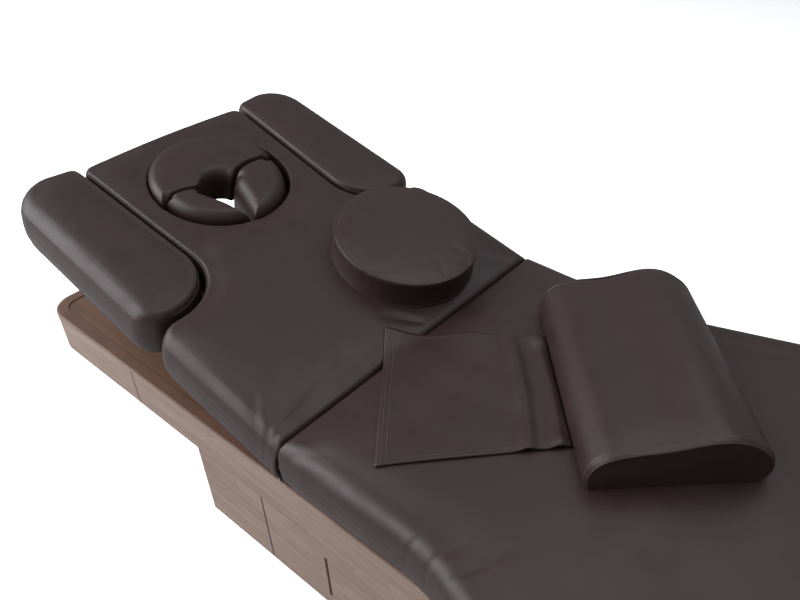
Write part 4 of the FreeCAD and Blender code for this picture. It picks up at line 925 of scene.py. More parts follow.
@dataclass(frozen=True)
class Plug:
    """Stretch of a pad, across the bed, that is filled up to the pad's own section at another place."""

    clean_y: float
    low_y: float
    high_y: float
    reach: float = 0.085

    def section(self, mesh: bmesh.types.BMesh) -> list[Plan]:
        """Cut the pad where it has no pocket and keep the cut's outline near the hinge.

        Args:
            mesh: The pad.

        Returns:
            Points of the outline along the bed and upwards.
        """
        cut = mesh.copy()
        bmesh.ops.bisect_plane(cut, geom=cut.verts[:] + cut.edges[:] + cut.faces[:],
                               plane_co=(0.0, self.clean_y, 0.0), plane_no=(0.0, 1.0, 0.0), clear_inner=True,
                               clear_outer=True)
        start = min(cut.verts, key=self.gap)
        sides = [self.walk(start, edge) for edge in start.link_edges[:2]]
        run = [(v[0], v[1]) for v in reversed(sides[0])] + [(start.co.x, start.co.z)] + sides[1]
        cut.free()
        return run

    @staticmethod
    def gap(vert: bmesh.types.BMVert) -> float:
        """Distance from the hinge's axis."""
        return math.hypot(vert.co.x, vert.co.z - HINGE_Z)

    def walk(self, start: bmesh.types.BMVert, edge: bmesh.types.BMEdge) -> list[Plan]:
        """Follow the outline one way from a point until it leaves the hinge."""
        found: list[Plan] = []
        before, here = start, edge.other_vert(start)
        while here != start:
            if self.gap(here) > self.reach:
                share = (self.reach - self.gap(before)) / (self.gap(here) - self.gap(before))
                last = before.co.lerp(here.co, min(max(share, 0.0), 1.0))
                return found + [(last.x, last.z)]
            found.append((here.co.x, here.co.z))
            onward = [e.other_vert(here) for e in here.link_edges if e.other_vert(here) != before]
            if not onward:
                return found
            before, here = here, onward[0]
        return found

    def fill(self, mesh: bmesh.types.BMesh, section: Sequence[Plan]) -> None:
        """Add the outline to the pad as a block."""
        rings = [[mesh.verts.new((x, y, z)) for x, z in section] for y in (self.low_y, self.high_y)]
        faces = [mesh.faces.new(rings[0]), mesh.faces.new(list(reversed(rings[1])))]
        for index in range(len(section)):
            after = (index + 1) % len(section)
            faces.append(mesh.faces.new((rings[0][after], rings[0][index], rings[1][index], rings[1][after])))
        bmesh.ops.recalc_face_normals(mesh, faces=faces)


@dataclass(frozen=True)
class Fold:
    """A soft fold or pull in the leather, along a line of the pad's flat frame."""

    start: Plan
    end: Plan
    depth: float
    width: float


class Level(Enum):
    """How finely a pad is meshed before it is blown up."""

    COARSE = 0.010
    MIDDLE = 0.0070
    FINE = 0.0042


@dataclass
class SoftPad:
    """A foam pad made from its plain solid: blown up as cloth on a coarse mesh and finished on a fine one."""

    name: str
    node: str
    body: str
    level: Level
    crown: float
    swell: float = 0.0025
    plane: Plane = LEVEL
    held_below: float = PAD_LOW_Z + 0.024
    ease: float = 0.0005
    pressure: float = 4.0
    frames: int = 20
    fill: float = 0.8
    folds: tuple[Fold, ...] = ()
    blank: Blank | None = None
    plugs: tuple[Plug, ...] = ()
    nose: tuple[float, float] | None = None
    well: Corner | None = None
    smooth_rounds: int = 3
    finish: str = "leather"

    def build(self, nodes: dict[str, bpy.types.Object]) -> bpy.types.Object:
        """Make the pad.

        Args:
            nodes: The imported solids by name.

        Returns:
            The finished pad, riding on its body.
        """
        foam = self.foam(nodes[self.node])
        pad = self.remeshed(self.name, foam, 0.5 * self.level.value)
        move = self.blown_up(foam, points_of(pad.data))
        set_points(pad.data, points_of(pad.data) + evened(pad.data, move, 6))
        relax(pad.data, self.smooth_rounds)
        self.true_well(pad)
        self.press_folds(pad)
        dress(pad, self.finish)
        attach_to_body(pad, self.body)
        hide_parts(self.node)
        LOG.info("%s: %d faces", pad.name, len(pad.data.polygons))
        return pad

    def foam(self, solid: bpy.types.Object) -> bpy.types.Mesh:
        """Plain closed mesh of the foam, with its hinge pockets filled."""
        if self.blank:
            return self.blank.solid(self.name, self.plane)
        mesh = bmesh.new()
        mesh.from_mesh(solid.data)
        bmesh.ops.remove_doubles(mesh, verts=mesh.verts, dist=0.00002)
        sections = [plug.section(mesh) for plug in self.plugs]
        for plug, section in zip(self.plugs, sections):
            plug.fill(mesh, section)
        return kept(self.name, mesh)

    def remeshed(self, name: str, foam: bpy.types.Mesh, size: float) -> bpy.types.Object:
        """Even mesh over the foam, a little smaller than it.

        Args:
            name: Name of the new object.
            foam: The foam's plain mesh.
            size: Size of the faces.

        Returns:
            The new object.
        """
        pad = link(name, foam.copy())
        modifier = pad.modifiers.new("even", "REMESH")
        modifier.mode = "VOXEL"
        modifier.voxel_size = size
        bake(pad)
        if self.blank:
            points = points_of(pad.data)
            down = self.blank.round_over(self.plane.flatten(points))
            set_points(pad.data, points - np.outer(down, np.array(self.plane.normal())))
        relax(pad.data, 2)
        set_points(pad.data, points_of(pad.data) - self.ease * normals_of(pad.data))
        return pad

    def limited(self, before: np.ndarray, normals: np.ndarray, move: np.ndarray) -> np.ndarray:
        """Let a pad swell only outwards, up to its crown and its side swell, and less at its nose.

        Args:
            before: Points before the swelling.
            normals: Normals at these points.
            move: How the cloth moved them.

        Returns:
            How far each point may move.
        """
        up = np.array(self.plane.normal())
        rise = self.crown * np.tanh(np.maximum(move @ up, 0.0) / self.crown)
        level = normals - np.outer(normals @ up, up)
        size = np.linalg.norm(level, axis=1)
        level /= np.maximum(size, 1e-9)[:, None]
        out = self.swell * np.tanh(np.maximum((move * level).sum(axis=1), 0.0) / self.swell) * size
        if self.nose:
            still, free = self.nose
            share = np.clip((self.plane.flatten(before)[:, 0] - still) / (free - still), 0.0, 1.0)
            share = share * share * (3.0 - 2.0 * share)
            rise *= 0.35 + 0.65 * share
            out *= share
        return np.outer(rise, up) + out[:, None] * level

    def blown_up(self, foam: bpy.types.Mesh, targets: np.ndarray) -> np.ndarray:
        """Inflate a coarse copy as cloth that is held at its board, and carry its swelling over.

        Args:
            foam: The foam's plain mesh.
            targets: Points of the fine mesh.

        Returns:
            How far each of these points moves.
        """
        pad = self.remeshed(self.name + "_coarse", foam, self.level.value)
        mesh = pad.data
        before, normals = points_of(mesh), normals_of(mesh)
        flat = self.plane.flatten(before)
        held = flat[:, 2] < self.held_below
        group = pad.vertex_groups.new(name="held")
        group.add([int(i) for i in np.nonzero(held)[0]], 1.0, "REPLACE")
        cloth = pad.modifiers.new("pressure", "CLOTH")
        settings = cloth.settings
        settings.quality = 4
        settings.mass = 0.3
        settings.tension_stiffness = settings.compression_stiffness = 18.0
        settings.shear_stiffness = 6.0
        settings.bending_stiffness = 1.5
        settings.use_pressure = True
        settings.uniform_pressure_force = self.pressure
        settings.vertex_group_mass = "held"
        settings.effector_weights.gravity = 0.0
        cloth.point_cache.frame_start = 1
        cloth.point_cache.frame_end = self.frames
        scene = bpy.context.scene
        for frame in range(1, self.frames + 1):
            scene.frame_set(frame)
        graph = bpy.context.evaluated_depsgraph_get()
        after = points_of(pad.evaluated_get(graph).data)
        scene.frame_set(1)
        move = evened(mesh, self.limited(before, normals, after - before), 12)
        move[held] = 0.0
        bpy.data.objects.remove(pad)
        return carried(before, move, targets)

    def true_well(self, pad: bpy.types.Object) -> None:
        """Draw the wall of a round recess onto its circle and round its upper edge."""
        if self.well is None:
            return
        x, y, radius = self.well
        flat = self.plane.flatten(points_of(pad.data))
        way = flat[:, :2] - (x, y)
        reach = np.maximum(np.linalg.norm(way, axis=1), 1e-9)
        top = flat[:, 2].max()
        near = (np.abs(reach - radius) < 0.007) & (flat[:, 2] > self.held_below)
        drop = np.clip((flat[:, 2] - (top - WELL_ROLL)) / WELL_ROLL, 0.0, 1.0)
        wanted = radius + WELL_ROLL * (1.0 - np.sqrt(1.0 - drop ** 2))
        share = np.where(near, wanted / reach, 1.0)[:, None]
        flat[:, :2] = (x, y) + way * share
        set_points(pad.data, self.plane.raised(flat))
        relax(pad.data, 2)

    def press_folds(self, pad: bpy.types.Object) -> None:
        """Press the pad's folds into its leather."""
        if not self.folds:
            return
        points, normals = points_of(pad.data), normals_of(pad.data)
        flat = self.plane.flatten(points)
        high = flat[:, 2] > self.held_below + 0.02
        move = np.zeros(len(points))
        for fold in self.folds:
            start, end = np.array(fold.start), np.array(fold.end)
            way = end - start
            length = np.linalg.norm(way)
            share = (flat[:, :2] - start) @ way / length ** 2
            nearest = start + np.outer(np.clip(share, 0.0, 1.0), way)
            far = np.linalg.norm(flat[:, :2] - nearest, axis=1)
            width = fold.width * (0.6 + 0.8 * np.clip(share, 0.0, 1.0))
            fade = np.sin(math.pi * np.clip(0.18 + 0.82 * share, 0.0, 1.0)) ** 0.8
            move -= high * fold.depth * fade * np.exp(-(far / width) ** 2)
        set_points(pad.data, points + normals * move[:, None])


def on_surface(tree: BVHTree, targets: Iterable[Vector], lift: float) -> list[Vector]:
    """Move points to the nearest place on a surface, then off it by a lift."""
    path = []
    for target in targets:
        place, normal, _, _ = tree.find_nearest(target)
        path.append(place + normal * lift)
    return path


def calm(path: Sequence[Vector], closed: bool, rounds: int = 12) -> list[Vector]:
    """Take the small wobbles out of a path.

    Args:
        path: The points along it.
        closed: Whether the last point joins the first.
        rounds: How many passes to make.

    Returns:
        The smoothed points, with the ends of an open path kept.
    """
    spots = np.array([list(point) for point in path])
    for _ in range(rounds):
        before, after = np.roll(spots, 1, axis=0), np.roll(spots, -1, axis=0)
        moved = 0.25 * before + 0.5 * spots + 0.25 * after
        if not closed:
            moved[0], moved[-1] = spots[0], spots[-1]
        spots = moved
    return [Vector(spot) for spot in spots]


def soften(points: Sequence[Plan], rounds: int = 2) -> tuple[Plan, ...]:
    """Cut the corners of a closed outline so that it runs in soft curves."""
    ring = list(points)
    for _ in range(rounds):
        cut: list[Plan] = []
        for (x0, y0), (x1, y1) in zip(ring, ring[1:] + ring[:1]):
            cut.append((0.75 * x0 + 0.25 * x1, 0.75 * y0 + 0.25 * y1))
            cut.append((0.25 * x0 + 0.75 * x1, 0.25 * y0 + 0.75 * y1))
        ring = cut
    return tuple(ring)


def arc(centre: Plan, radius: float, start: float, end: float, steps: int = 14) -> list[Plan]:
    """Points on a circle between two angles in degrees."""
    turns = np.radians(np.linspace(start, end, steps))
    return [(centre[0] + radius * math.cos(t), centre[1] + radius * math.sin(t)) for t in turns]


def attach(piece: bpy.types.Object, body: str) -> bpy.types.Object:
    """Let a piece ride on a body."""
    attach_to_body(piece, body)
    LOG.info("%s: %d faces", piece.name, len(piece.data.polygons))
    return piece


# Outlines of the pads, each corner with its radius, anticlockwise in the flat frame
HINGE_X = 0.060
SHOULDER_X = -0.342
HEAD_X = -0.856
NECK_HEAD_Y = 0.228
NECK_FOOT_Y = 0.204
FOOT_X = 1.215
HIP_Y = 0.518
SPINE_OUTLINE: tuple[Corner, ...] = (
    (HINGE_X, -HALF_WIDTH, 0.045), (HINGE_X, HALF_WIDTH, 0.045), (SHOULDER_X, HALF_WIDTH, 0.045),
    (SHOULDER_X, NECK_FOOT_Y, 0.120), (HEAD_X, NECK_HEAD_Y, 0.030), (HEAD_X, -NECK_HEAD_Y, 0.030),
    (SHOULDER_X, -NECK_FOOT_Y, 0.120), (SHOULDER_X, -HALF_WIDTH, 0.045),
)
ARM_OUTLINE: tuple[Corner, ...] = (
    (-0.354, 0.207, 0.116), (-0.354, 0.404, 0.055), (-0.884, 0.400, 0.092), (-0.864, 0.231, 0.030),
)
LEG_HALF: tuple[Corner, ...] = (
    (-HINGE_X, -HALF_WIDTH, 0.045), (0.358, -HALF_WIDTH, 0.400), (0.711, -HIP_Y, 0.500), (0.863, -HIP_Y, 0.400),
    (1.118, -0.425, 0.250), (FOOT_X, -0.285, 0.150),
)
LEG_OUTLINE = LEG_HALF + tuple((x, -y, radius) for x, y, radius in reversed(LEG_HALF))


def lay(path: Sequence[Plan], height: float, plane: Plane) -> list[Vector]:
    """Lift a plan path to a height of the flat frame and turn it with its pad."""
    return [plane.place(x, y, height) for x, y in path]


def low_welt(pad: bpy.types.Object, name: str, path: Sequence[Plan], closed: bool, plane: Plane, body: str) -> None:
    """Welt round the foot of a pad, just over its board.

    Args:
        pad: The finished pad.
        name: Name of the welt.
        path: The pad's outline in plan.
        closed: Whether the outline's last point joins the first.
        plane: The pad's plane.
        body: The body that carries the pad.
    """
    line = calm(on_surface(surface_of(pad), lay(path, LOW_WELT_Z, plane), WELT_LIFT), closed)
    attach(welt(name, [(line, closed)], WELT_R), body)


def edge_seam(tree: BVHTree, path: Sequence[Plan], inset: float) -> list[Vector]:
    """Line of a pressed seam on top of a raised pad, at an inset from its outline."""
    return calm(dropped(tree, shift_path(path, inset, False), RAISED, TRIM_LIFT), False, 3)


class Builder:
    """What every sub-part shares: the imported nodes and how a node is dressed."""

    def __init__(self, nodes: dict[str, bpy.types.Object], slots: dict[str, str]) -> None:
        """Keep the nodes and the slot of each."""
        self.nodes = nodes
        self.slots = slots

    def dress_nodes(self) -> None:
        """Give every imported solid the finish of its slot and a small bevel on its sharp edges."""
        for name, node in self.nodes.items():
            node.data.materials.clear()
            node.data.materials.append(Shelf.get(NODE_FINISHES.get(name, self.slots[name])))
            modifier = node.modifiers.new("edges", "BEVEL")
            modifier.width = 0.0006
            modifier.segments = 2
            modifier.limit_method = "ANGLE"
            modifier.angle_limit = math.radians(50.0)

    def build(self) -> None:
        """Make the sub-part."""
        raise NotImplementedError


# Stretches of both pads that have a hinge pocket under their leather
HINGE_PLUGS = (Plug(-0.245, -0.216, -0.172), Plug(0.245, 0.172, 0.216))


class LegCushion(Builder):
    """The wide leg cushion, its bottom seam and the staples under its board."""

    WELT_FROM_X = 0.034
    STAPLES_FROM_X = 0.06

    def build(self) -> None:
        """Make the cushion and its trim."""
        pad = SoftPad(
            "leg_cushion", "leg_pad", "carriage", Level.COARSE, crown=0.0125, swell=0.007, plugs=HINGE_PLUGS,
            nose=(0.028, 0.110),
            folds=(
                Fold((0.050, -0.392), (0.120, -0.350), 0.0013, 0.009),
                Fold((0.038, -0.372), (0.080, -0.310), 0.0011, 0.009),
                Fold((0.090, -0.398), (0.190, -0.384), 0.0010, 0.010),
                Fold((0.378, -0.408), (0.408, -0.335), 0.0022, 0.0075),
                Fold((0.428, -0.402), (0.478, -0.300), 0.0026, 0.0075),
                Fold((0.330, -0.402), (0.352, -0.362), 0.0014, 0.007),
                Fold((0.520, -0.330), (0.700, -0.250), 0.0008, 0.030),
                Fold((0.080, 0.300), (0.120, 0.385), 0.0012, 0.010),
            ),
        ).build(self.nodes)
        outline = corner_path(LEG_OUTLINE, False)
        low_welt(pad, "leg_cushion_welt", [p for p in outline if p[0] > self.WELT_FROM_X], False, LEVEL, "carriage")
        under = shift_path([p for p in outline if p[0] > self.STAPLES_FROM_X], LEG_STAPLE_IN, False)
        staples("leg_board_staples", under, LEVEL, "carriage")


def staples(name: str, path: Sequence[Plan], plane: Plane, body: str) -> None:
    """Row of staples on the underside of a board, square to its edge.

    Args:
        name: Name of the piece.
        path: Where the staples lie, in plan.
        plane: The pad's plane.
        body: The body that carries the board.
    """
    spots = []
    walk = even_path([Vector((x, y, 0.0)) for x, y in path], STAPLE_PITCH)
    for before, after in zip(walk, walk[1:]):
        way = (after - before).normalized()
        place = plane.place(before.x, before.y, PAD_LOW_Z)
        spots.append((place, -plane.normal(), Vector((way.x, way.y, 0.0))))
    attach(fasteners(name, spots, staple(STAPLE_CROWN, STAPLE_WIRE), "staple"), body)


class BackCushion(Builder):
    """The backrest's narrow spine cushion with the folds at its hinge end."""

    WELT_TO_X = 0.002
    STAPLES_TO_X = -0.06
    SEAM_X = (-0.846, -0.334)
    SEAM_TO_Y = 0.372

    def build(self) -> None:
        """Make the cushion and its trim."""
        pad = SoftPad(
            "back_cushion", "back_pad", "backrest", Level.MIDDLE, crown=0.010, swell=0.005, plane=RAISED,
            plugs=HINGE_PLUGS, nose=(-0.006, -0.080), well=(-0.633, 0.0, 0.165),
            folds=(
                Fold((-0.010, -0.398), (-0.105, -0.235), 0.0019, 0.012),
                Fold((-0.004, -0.380), (-0.050, -0.130), 0.0022, 0.011),
                Fold((-0.030, -0.400), (-0.150, -0.310), 0.0013, 0.012),
                Fold((0.004, -0.360), (-0.012, -0.100), 0.0016, 0.010),
                Fold((-0.004, 0.340), (-0.090, 0.240), 0.0014, 0.014),
                Fold((-0.012, 0.030), (-0.085, -0.035), 0.0040, 0.013),
            ),
        ).build(self.nodes)
        tree = surface_of(pad)
        outline = corner_path(SPINE_OUTLINE, True)
        side = sorted_run([p for p in outline if p[0] < self.WELT_TO_X], outline)
        low_welt(pad, "back_cushion_welt", side, False, RAISED, "backrest")
        edges: Paths = []
        rows: Paths = []
        for way in (-1.0, 1.0):
            seam = sorted_run([p for p in outline if p[1] * way > 0.0 and abs(p[1]) < self.SEAM_TO_Y
                               and self.SEAM_X[0] < p[0] < self.SEAM_X[1]], outline)
            edges.append((edge_seam(tree, seam, EDGE_SEAM_IN), False))
            rows.append((dropped(tree, shift_path(seam, BACK_STITCH_IN, False), RAISED, TRIM_LIFT), False))
        # The edge seam cord's lighter leather is partly a painted highlight on the edge roll.
        attach(welt("back_cushion_edge_seam", edges, EDGE_SEAM_R, finish="piping"), "backrest")
        attach(stitches("back_cushion_stitching", rows), "backrest")
        under = sorted_run([p for p in outline if p[0] < self.STAPLES_TO_X], outline)
        staples("back_board_staples", shift_path(under, STAPLE_IN, False), RAISED, "backrest")


def sorted_run(kept: Sequence[Plan], outline: Sequence[Plan]) -> list[Plan]:
    """Start a closed outline's kept points after the stretch that was left out."""
    wanted = set(kept)
    count = len(outline)
    start = next(i for i in range(count) if outline[i] in wanted and outline[i - 1] not in wanted)
    return [outline[(start + i) % count] for i in range(count) if outline[(start + i) % count] in wanted]


class ArmRests(Builder):
    """The two arm cushions with their double rows of stitching."""

    ROWS = (0.0100, 0.0165)
    INNER_TO_Y = 0.345
    INNER_FROM_X = -0.868

    def build(self) -> None:
        """Make both cushions and their trim."""
        for side, way in (("near", -1.0), ("far", 1.0)):
            body = f"arm_rest_{side}"
            pad = SoftPad(f"arm_cushion_{side}", f"arm_pad_{side}", body, Level.MIDDLE, crown=0.006, swell=0.003,
                          plane=RAISED).build(self.nodes)
            tree = surface_of(pad)
            outline = [(x, way * y) for x, y in corner_path(ARM_OUTLINE, True)]
            inner = sorted_run([p for p in outline if abs(p[1]) < self.INNER_TO_Y and p[0] > self.INNER_FROM_X],
                               outline)
            rows = [(dropped(tree, shift_path(inner, way * inset, False), RAISED, TRIM_LIFT), False)
                    for inset in self.ROWS]
            attach(stitches(f"arm_stitching_{side}", rows), body)
            edge = edge_seam(tree, inner, way * EDGE_SEAM_IN)
            # The edge seam cord's lighter leather is partly a painted highlight on the edge roll.
            attach(welt(f"arm_edge_seam_{side}", [(edge, False)], EDGE_SEAM_R, finish="piping"), body)
            low_welt(pad, f"arm_welt_{side}", outline, True, RAISED, body)
            staples(f"arm_board_staples_{side}", shift_path(outline, way * STAPLE_IN, True), RAISED, body)


def dropped(tree: BVHTree, path: Sequence[Plan], plane: Plane, lift: float) -> list[Vector]:
    """Drop a plan path onto a surface from above, square to its plane.

    Args:
        tree: The surface.
        path: The path in plan.
        plane: The surface's plane.
        lift: How far to stand off it.

    Returns:
        The points that met the surface.
    """
    up = plane.normal()
    found = []
    for x, y in path:
        place, _, _, _ = tree.ray_cast(plane.place(x, y, TOP_Z + 0.2), -up)
        if place is not None:
            found.append(place + up * lift)
    return found


@dataclass(frozen=True)
class FacePad:
    """One piece of the face rest's ring: its outline, and where its outer welt runs."""

    name: str
    node: str
    outer: tuple[Plan, float, float, float]
    inner: tuple[Plan, ...]
    roll: float
    edge_share: float

    def outline(self) -> tuple[Plan, ...]:
        """Outer arc and inner edge as one soft ring."""
        centre, radius, start, end = self.outer
        return soften(arc(centre, radius, start, end) + list(self.inner))


class FaceRest(Builder):
    """The horseshoe face rest: a forehead pad and two cheek pads round a breathing hole."""

    PADS = (
        FacePad(
            "forehead_cushion", "face_pad_forehead", ((-0.646, 0.0), 0.160, 83.0, 273.0),
            ((-0.641, -0.150), (-0.643, -0.110), (-0.633, -0.076), (-0.629, -0.062), (-0.641, -0.049),
             (-0.651, -0.027), (-0.652, -0.002), (-0.640, 0.017), (-0.621, 0.025), (-0.626, 0.037),
             (-0.634, 0.060), (-0.637, 0.085), (-0.635, 0.108), (-0.630, 0.152)), 0.024, 0.58),
        FacePad(
            "cheek_cushion_near", "face_pad_cheek_near", ((-0.633, 0.0), 0.149, 266.0, 348.0),
            ((-0.487, -0.025), (-0.500, -0.030), (-0.519, -0.033), (-0.553, -0.039), (-0.586, -0.053),
             (-0.621, -0.068), (-0.633, -0.077), (-0.643, -0.110), (-0.642, -0.147)), 0.026, 0.50),
        FacePad(
            "cheek_cushion_far", "face_pad_cheek_far", ((-0.633, 0.0), 0.157, -8.0, 88.0),
            ((-0.627, 0.148), (-0.631, 0.108), (-0.633, 0.085), (-0.630, 0.060), (-0.622, 0.036),
             (-0.609, 0.019), (-0.593, 0.009), (-0.562, 0.000), (-0.529, -0.010), (-0.500, -0.021),
             (-0.486, -0.026)), 0.036, 0.44),
    )
    SEAM_ROLL = 0.007

    def build(self) -> None:
        """Make the three cushions and their trim."""
        for pad in self.PADS:
            flat = RAISED.flatten(points_of(self.nodes[pad.node].data))
            low, high = float(flat[:, 2].min()), float(flat[:, 2].max())
            blank = Blank(pad.outline(), low, high + 0.006, pad.roll, pad.edge_share, seam_roll=self.SEAM_ROLL)
            made = SoftPad(pad.name, pad.node, "face_rest", Level.FINE, crown=0.003, swell=0.0010, plane=RAISED,
                           held_below=low + 0.012, ease=0.0008, fill=0.85, blank=blank,
                           folds=self.folds(pad)).build(self.nodes)
            self.trim(pad, made, low + (high - low) * 0.50)

    def folds(self, pad: FacePad) -> tuple[Fold, ...]:
        """Fine gathers round the outer edge of the far cheek."""
        if pad.node != "face_pad_cheek_far":
            return ()
        centre, radius, _, _ = pad.outer
        made = []
        for turn in np.linspace(4.0, 84.0, 19):
            inner, outer = (arc(centre, radius - drop, turn, turn, 1)[0] for drop in (0.040, 0.006))
            made.append(Fold(inner, outer, 0.0009, 0.0022))
        return tuple(made)

    def trim(self, pad: FacePad, made: bpy.types.Object, height: float) -> None:
        """Welt along the outer edge of a pad."""
        centre, radius, start, end = pad.outer
        tree = surface_of(made)
        ring = arc(centre, radius - 0.002, start + 6.0, end - 6.0, 60)
        path = calm(on_surface(tree, lay(ring, height, RAISED), 0.0005), False)
        attach(welt(f"{pad.name}_welt", [(path, False)], FACE_WELT_R, 0.004), "face_rest")


class RoundCushion(Builder):
    """The round seat cushion with its double welts and its side seam."""

    CENTRE = (-0.174, 0.149)
    RADIUS = 0.165
    HEIGHT = 0.074
    STITCH_IN = 0.012
    LOW_WELT = 0.008
    SEAM_AT = math.radians(261.0)
    SEAM_HALF = 0.003

    def ring(self, radius: float) -> list[Plan]:
        """Circle about the cushion's middle, in plan."""
        return arc(self.CENTRE, radius, 0.0, 357.0, 120)

    def circle(self, radius: float, height: float) -> list[Vector]:
        """Circle about the cushion's middle at a height over the pad."""
        return lay(self.ring(radius), TOP_Z + height, RAISED)

    def build(self) -> None:
        """Make the cushion and its trim."""
        pad = SoftPad("round_seat_cushion", "round_cushion", "seat_roll", Level.FINE, crown=0.004, swell=0.0015,
                      plane=RAISED, held_below=TOP_Z + 0.012, ease=0.0015,
                      folds=(Fold((-0.150, -0.008), (-0.080, 0.060), 0.0012, 0.012),
                             Fold((-0.030, 0.110), (-0.090, 0.140), 0.0010, 0.010),
                             Fold((-0.040, 0.200), (-0.100, 0.180), 0.0010, 0.010))).build(self.nodes)
        tree = surface_of(pad)
        top = calm(on_surface(tree, self.circle(self.RADIUS, self.HEIGHT), 0.0006), True)
        inner = calm(dropped(tree, self.ring(self.RADIUS - self.STITCH_IN), RAISED, TRIM_LIFT), True)
        low = calm(on_surface(tree, self.circle(self.RADIUS, self.LOW_WELT), WELT_LIFT), True)
        attach(welt("round_cushion_welts", [(top, True), (low, True)], CUSHION_WELT_R), "seat_roll")
        attach(stitches("round_cushion_top_stitching", [(inner, True)]), "seat_roll")
        rows: Paths = []
        for way in (-1.0, 1.0):
            turn = self.SEAM_AT + way * self.SEAM_HALF / self.RADIUS
            x = self.CENTRE[0] + self.RADIUS * math.cos(turn)
            y = self.CENTRE[1] + self.RADIUS * math.sin(turn)
            heights = np.linspace(0.010, self.HEIGHT - 0.004, 16)
            rows.append((on_surface(tree, [RAISED.place(x, y, TOP_Z + h) for h in heights], TRIM_LIFT), False))
        attach(stitches("round_cushion_side_stitching", rows, 0.004), "seat_roll")


